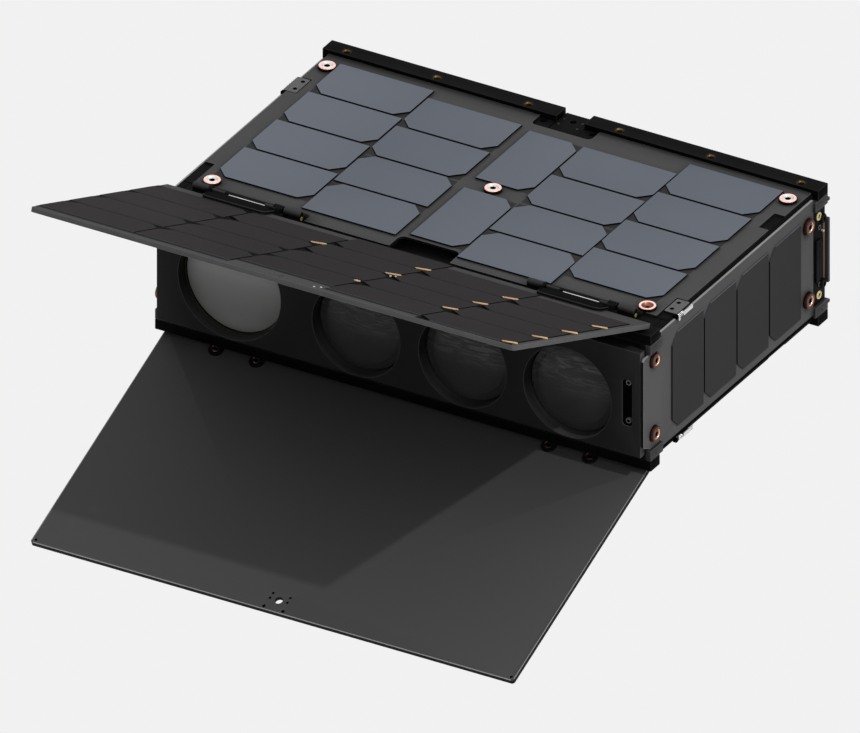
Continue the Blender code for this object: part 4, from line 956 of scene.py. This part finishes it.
def add_tab(glue_and_shade, tabs, left, front):
    """The bright conductor at a cell's right free corner, and a painted shadow in the gap at its left one."""
    a, b = (left + 1.0, front + CROP + 0.2), (left + CROP + 1.6, front + 0.4)
    # Painted shadow of the cell's side in the cropped corner.
    wedge = [a, (a[0] - 1.4, a[1] - 1.4), (b[0] - 0.8, b[1] - 0.8), b]
    plate(glue_and_shade, wedge, FLAP_TOP - SEAT, FLAP_TOP + 0.5, 2)
    base = Vector((left + CELL_LONG + 0.4, front + CROP - 0.1))
    tip = Vector((left + CELL_LONG - CROP + 1.0, front + 1.8))
    along, out = (base - tip).normalized(), Vector((0.7071, -0.7071))
    strip = [
        base + out * 0.4, tip + out * 0.1 - along * 0.8, tip + out * 0.5 - along * 0.6,
        base + out * 2.6 - along * 0.3,
    ]
    plate(tabs, [tuple(p) for p in strip], FLAP_TOP, FLAP_TOP + 0.8, 0, edge=0.1)


def make_flap_board(place, level, body):
    """One flap, drawn about its hinge line with the cells on top and the free edge towards -Y."""
    shape = bmesh.new()
    near, far = -FLAP_START, -FLAP_END
    corners = [(-FLAP_HALF, near, 0.6), (-FLAP_HALF, far), (FLAP_HALF, far), (FLAP_HALF, near, 0.6)]
    small = [(x, far + y, 1.05) for x in (-6.4, 6.4) for y in (10.0, 14.2)]
    small += [(x, far + 2.7, 1.3) for x in (-7.0, 7.0)] + [(x, far + 2.9, 1.1) for x in (-175.3, 175.3)]
    holes = [circle(0, far + 10, 2.8, 28)] + [circle(x, y, radius, 16) for x, y, radius in small]
    plate(shape, rounded(corners, 2), FLAP_BOTTOM, FLAP_TOP, 0, 3, edge=0.5, edge_material=1, holes=holes)
    # Painted highlight: pale strips along the underside of the free edge and the ends.
    low, high = FLAP_BOTTOM - 0.06, FLAP_BOTTOM + 0.1
    block(shape, (-FLAP_HALF + 2, far, low), (FLAP_HALF - 2, far + 0.75, high), 1)
    for end in (-FLAP_HALF, FLAP_HALF - 0.6):
        block(shape, (end, far + 2, low), (end + 0.6, near - 1, high), 1)
    for x, y, radius in small:
        for height, facing in ((FLAP_BOTTOM + 0.5, -1), (FLAP_TOP - 0.5, 1)):
            lathe(shape, [(radius + 0.05, 0, 2), (0, 0, 2)], (x, y, height), "Z", facing, 16)
    # The upper flap's sides take the painted light of the flap side, the lower flap's the painted shade of
    # the board side.
    materials = [FLAP_BOARD, FLAP_RIM, HOLE, FLAP_SIDE if level == "upper" else BOARD_SIDE]
    piece(f"{level}_flap_board", shape, body, materials, place, [f"{level}_flap"])


def make_flap_cells(place, level, body):
    cells, glue_and_shade, tabs = bmesh.new(), bmesh.new(), bmesh.new()
    for left, start, crops in FLAP_COLUMNS:
        for row, crop in enumerate(crops):
            front = -(FLAP_START + start + row * FLAP_PITCH + CELL_WIDE)
            outline = cell(left, front, CELL_LONG, CELL_WIDE, crop)
            plate(cells, outline, FLAP_TOP - SEAT, FLAP_TOP + FLAP_CELL_HEIGHT, 0, 2)
            under = rectangle(left, front, left + CELL_LONG, front + CELL_WIDE)
            plate(glue_and_shade, grown(under, 0.62), FLAP_TOP - SEAT, FLAP_TOP + 0.06, 0)
            # Painted shade beside the cells of the free row.
            if row == FREE_ROW:
                low = max(front - 4.6, 0.7 - FLAP_END)
                painted_shade_strip = rectangle(left - 0.6, low, left + CELL_LONG + 0.6, front + 8)
                plate(glue_and_shade, painted_shade_strip, FLAP_TOP - SEAT, FLAP_TOP + 0.03, 1)
            if crop == "F":
                add_tab(glue_and_shade, tabs, left, front)
    for x, y in ((27.8, -192.94), (30.8, -188.94)):
        lathe(tabs, [(0.95, 0, 1), (0.9, 0.4, 1), (0, 0.5, 1)], (x, y, FLAP_TOP), steps=12)
    stub = [(28.4, -139.6), (31.8, -137.0), (32.8, -138.4), (29.6, -140.8)]
    plate(tabs, stub, FLAP_TOP, FLAP_TOP + 0.8, 0, edge=0.1)
    for x, y, rise in ((32.0, -95.54, 0), (34.5, -93.04, 0), (30.2, -139.0, 0.1)):
        lathe(tabs, [(0.8, 0, 1), (0.7, 0.9, 1), (0, 1.0, 1)], (x, y, FLAP_TOP + rise), steps=10)
    # Sides that face the free edge get the painted highlight, the rest stay black.
    for face in cells.faces:
        if face.normal.y < -0.9:
            face.material_index = 1 if face.calc_center_median().y < FREE_EDGE else 3
    piece(f"{level}_flap_cells", cells, body, [FLAP_CELL, FLAP_CELL_SIDE, CELL_SIDE, FLAP_CELL_ROW], place)
    piece(f"{level}_flap_adhesive_and_shade", glue_and_shade, body, [GLUE, FLAP_SHADE, HOLE], place)
    piece(f"{level}_flap_tabs", tabs, body, [TAB, STEEL], place)


def make_flap_bushings(place, level, body):
    shape = bmesh.new()
    ring = [(5.2, 0, 0), (5.2, 0.9, 0), (4.9, 1.2, 0), (3.5, 1.2, 1), (3.1, 0.9, 1), (2.9, 0.3, 3)]
    y = -FLAP_START - 5.6
    for x in FLAP_SCREWS:
        lathe(shape, ring + [(0, 0.3, 3)], (x, y, FLAP_BOTTOM), "Z", -1, 36)
        screw(shape, (x, y, FLAP_BOTTOM - 0.3), "Z", -1, 2.4, 0.8, 2, 3)
    piece(f"{level}_flap_bushings", shape, body, [BLACK, COPPER_DARK, STEEL_DARK, HOLE], place)


def make_hinge(side_place, flap_place, level, word, left, body):
    """One hinge: the base rides on the bus, the leaf and its knuckles on the flap."""
    name = f"{level}_{word}_hinge"
    shape = bmesh.new()
    right = left + HINGE_LENGTH
    foot = rounded(rectangle(left, -101.3, right, -84.9), 1.2)
    plate(shape, foot, PANEL_BOTTOM, 48.3, 0, edge=0.3, edge_material=1)
    for a, b in ((left, left + 11.4), (left + 66.8, right)):
        block(shape, (a, HINGE_Y - 2.4, 47.3), (b, HINGE_Y + 6.5, 50.2), 0, 0.3)
        block(shape, (a, HINGE_Y - 2.2, 50.0), (b, HINGE_Y + 2.2, HINGE_Z), 0, 0.3)
        knuckle = [(0, a, 0), (2.0, a, 2), (2.4, a + 0.4, 2), (2.4, b - 0.4, 2), (2.0, b, 0), (0, b, 0)]
        lathe(shape, knuckle, (0, HINGE_Y, HINGE_Z), "X", 1, 36)
    for a, b in ((left + 1, left + 26.0), (left + 53.2, right - 0.6)):
        rod(shape, 0.5, a, b, 0, (0, HINGE_Y, HINGE_Z), 20)
    rod(shape, 0.38, left + 25.9, left + 53.3, 5, (0, HINGE_Y - 0.6, HINGE_Z - 0.4), 16, 0.2)
    end = (0, HINGE_Y - 0.4, HINGE_Z - 2.5)
    a, b = right - 0.1, right + 0.35
    lathe(shape, [(0.7, a, 3), (1.25, a, 3), (1.25, b, 3), (0.7, b, 3)], end, "X", 1, 24)
    lathe(shape, [(0.75, right - 0.2, 4), (0, right + 0.3, 4)], end, "X", 1, 20)
    materials = [BLACK, BLACK_EDGE, FRAME, YELLOW, STEEL, SPRING]
    piece(name + "_foot", shape, "bus", materials, side_place, [name + "_base"])

    shape = bmesh.new()
    low, high = FLAP_TOP + 0.3, FLAP_TOP + 2.3
    a, b = left + 16.0, left + 63.6
    leaf = rounded([(a, -1.6, 0.4), (a, -21.6, 5.5), (b, -21.6, 5.5), (b, -1.6, 0.4)], 1)
    # Painted shade: the leaf's top takes the darker black; painted highlight: its bevels take the frame grey.
    plate(shape, leaf, low, high, 3, 0, edge=0.45, edge_material=2)
    for near, far in ((11.9, 13.6), (59.2, 64.0), (64.6, 65.9)):
        a, b = left + near, left + far
        block(shape, (a, -7.5, low), (b, -0.2, 1.0), 0, 0.3)
        knuckle = [(0.75, a, 0), (2.3, a, 1), (2.6, a + 0.3, 0), (2.6, b - 0.3, 1), (2.3, b, 0), (0.75, b, 0)]
        lathe(shape, knuckle, axis="X")
    block(shape, (left + 12.4, -7.5, low), (left + 65.4, -4.0, low + 1.6), 0, 0.2)
    for near, far in ((13.5, 23.2), (52.8, 59.4)):
        a, b = left + near, left + far
        lathe(shape, [(0.6, a, 2), (1.1, a, 2), (1.1, b, 2), (0.6, b, 2)], axis="X", steps=24)
    materials = [BLACK, BLACK_EDGE, FRAME, BLACK_SIDE]
    piece(name + "_plate", shape, body, materials, flap_place, [name + "_leaf"])


# Building
for place, level, flap_place, side in ((SAME, "top", UPPER, "upper"), (BELOW, "bottom", LOWER, "lower")):
    make_panel(place, level)
    make_rails(place, level)
    make_hold_down(place, level)
    make_clip(place, f"{level}_right_clip", -76.7, -58.5)
    make_clip(place @ ACROSS, f"{level}_left_clip", 46.4, 66.1)
    flap_body = f"{side}_flap_body"
    for make in (make_flap_board, make_flap_cells, make_flap_bushings):
        make(flap_place, side, flap_body)
    for word, left in zip(("left", "right"), HINGE_LEFTS):
        make_hinge(place, flap_place, side, word, left, flap_body)
for place, word in ((SAME, "right"), (ACROSS, "left")):
    make_end(place, word)
    make_port(place, word)
make_housing()
for index, row in enumerate(LENSES, 1):
    make_lens(index, *row)
make_rear()
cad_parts["avionics_stack"].data.materials.clear()
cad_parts["avionics_stack"].data.materials.append(FRAME)


# Studio
def show_plain(tree, lit, seen, output):
    """Shows the camera a plain tone and every other ray the lit surface."""
    choose = tree.nodes.new("ShaderNodeMixShader")
    sources = (add_node(tree, "LightPath")["Is Camera Ray"], lit, seen)
    for socket, source in zip(choose.inputs, sources):
        tree.links.new(source, socket)
    tree.links.new(choose.outputs[0], tree.nodes[output].inputs["Surface"])


def make_floor():
    ground = bmesh.new()
    bmesh.ops.create_grid(ground, x_segments=1, y_segments=1, size=FLOOR_SIZE)
    bmesh.ops.translate(ground, verts=ground.verts, vec=(0, 0, FLOOR_HEIGHT))
    mesh = bpy.data.meshes.new("studio_floor")
    ground.to_mesh(mesh)
    ground.free()
    pale = bpy.data.materials.new("studio_floor_pale")
    pale.use_nodes = True
    tree = pale.node_tree
    shader = tree.nodes["Principled BSDF"]
    shader.inputs["Base Color"].default_value = FLOOR_TONE
    shader.inputs["Roughness"].default_value = 0.9
    glow = add_node(tree, "Emission", {"Color": BACKDROP_TONE})
    show_plain(tree, shader.outputs[0], glow[0], "Material Output")
    mesh.materials.append(pale)
    floor = bpy.data.objects.new("studio_floor", mesh)
    bpy.context.scene.collection.objects.link(floor)


def make_world():
    """Light from all round that grows brighter upward."""
    world = bpy.data.worlds.new("studio")
    bpy.context.scene.world = world
    world.use_nodes = True
    tree = world.node_tree
    sky = tree.nodes["Background"]
    sky.inputs["Color"].default_value = (1.0, 1.0, 1.0, 1)
    height = add_node(tree, "SeparateXYZ", {0: add_node(tree, "TexCoord")["Generated"]})["Z"]
    feed(tree, sky.inputs["Strength"], ramp(tree, height, 0.0, 1.0, HORIZON_LIGHT, OVERHEAD_LIGHT))
    seen = add_node(tree, "Background", {"Color": BACKDROP_TONE})
    show_plain(tree, sky.outputs[0], seen[0], "World Output")


def put_in_view(name, data, direction, location=(0, 0, 0)):
    """Adds a lamp or the camera, its back turned towards a direction."""
    made = bpy.data.objects.new(name, data)
    made.location = location
    made.rotation_euler = Vector(direction).to_track_quat("Z", "Y").to_euler()
    bpy.context.scene.collection.objects.link(made)
    return made


make_floor()
make_world()
key = bpy.data.lights.new("key", "SUN")
key.energy = KEY_LIGHT
key.angle = KEY_WIDTH
put_in_view("key", key, KEY_FROM)
side_lamp = bpy.data.lights.new("side", "AREA")
side_lamp.energy = SIDE_LIGHT
side_lamp.size = 0.5
put_in_view("side", side_lamp, SIDE_FROM, SIDE_PLACE)
camera = bpy.data.cameras.new("camera")
camera.type = "ORTHO"
camera.ortho_scale = VIEW_WIDTH
camera.clip_end = 50
eye = put_in_view("camera", camera, VIEW_FROM, VIEW_CENTRE + VIEW_FROM * VIEW_DISTANCE)
bpy.context.scene.camera = eye
bpy.context.scene.view_settings.view_transform = "Standard"
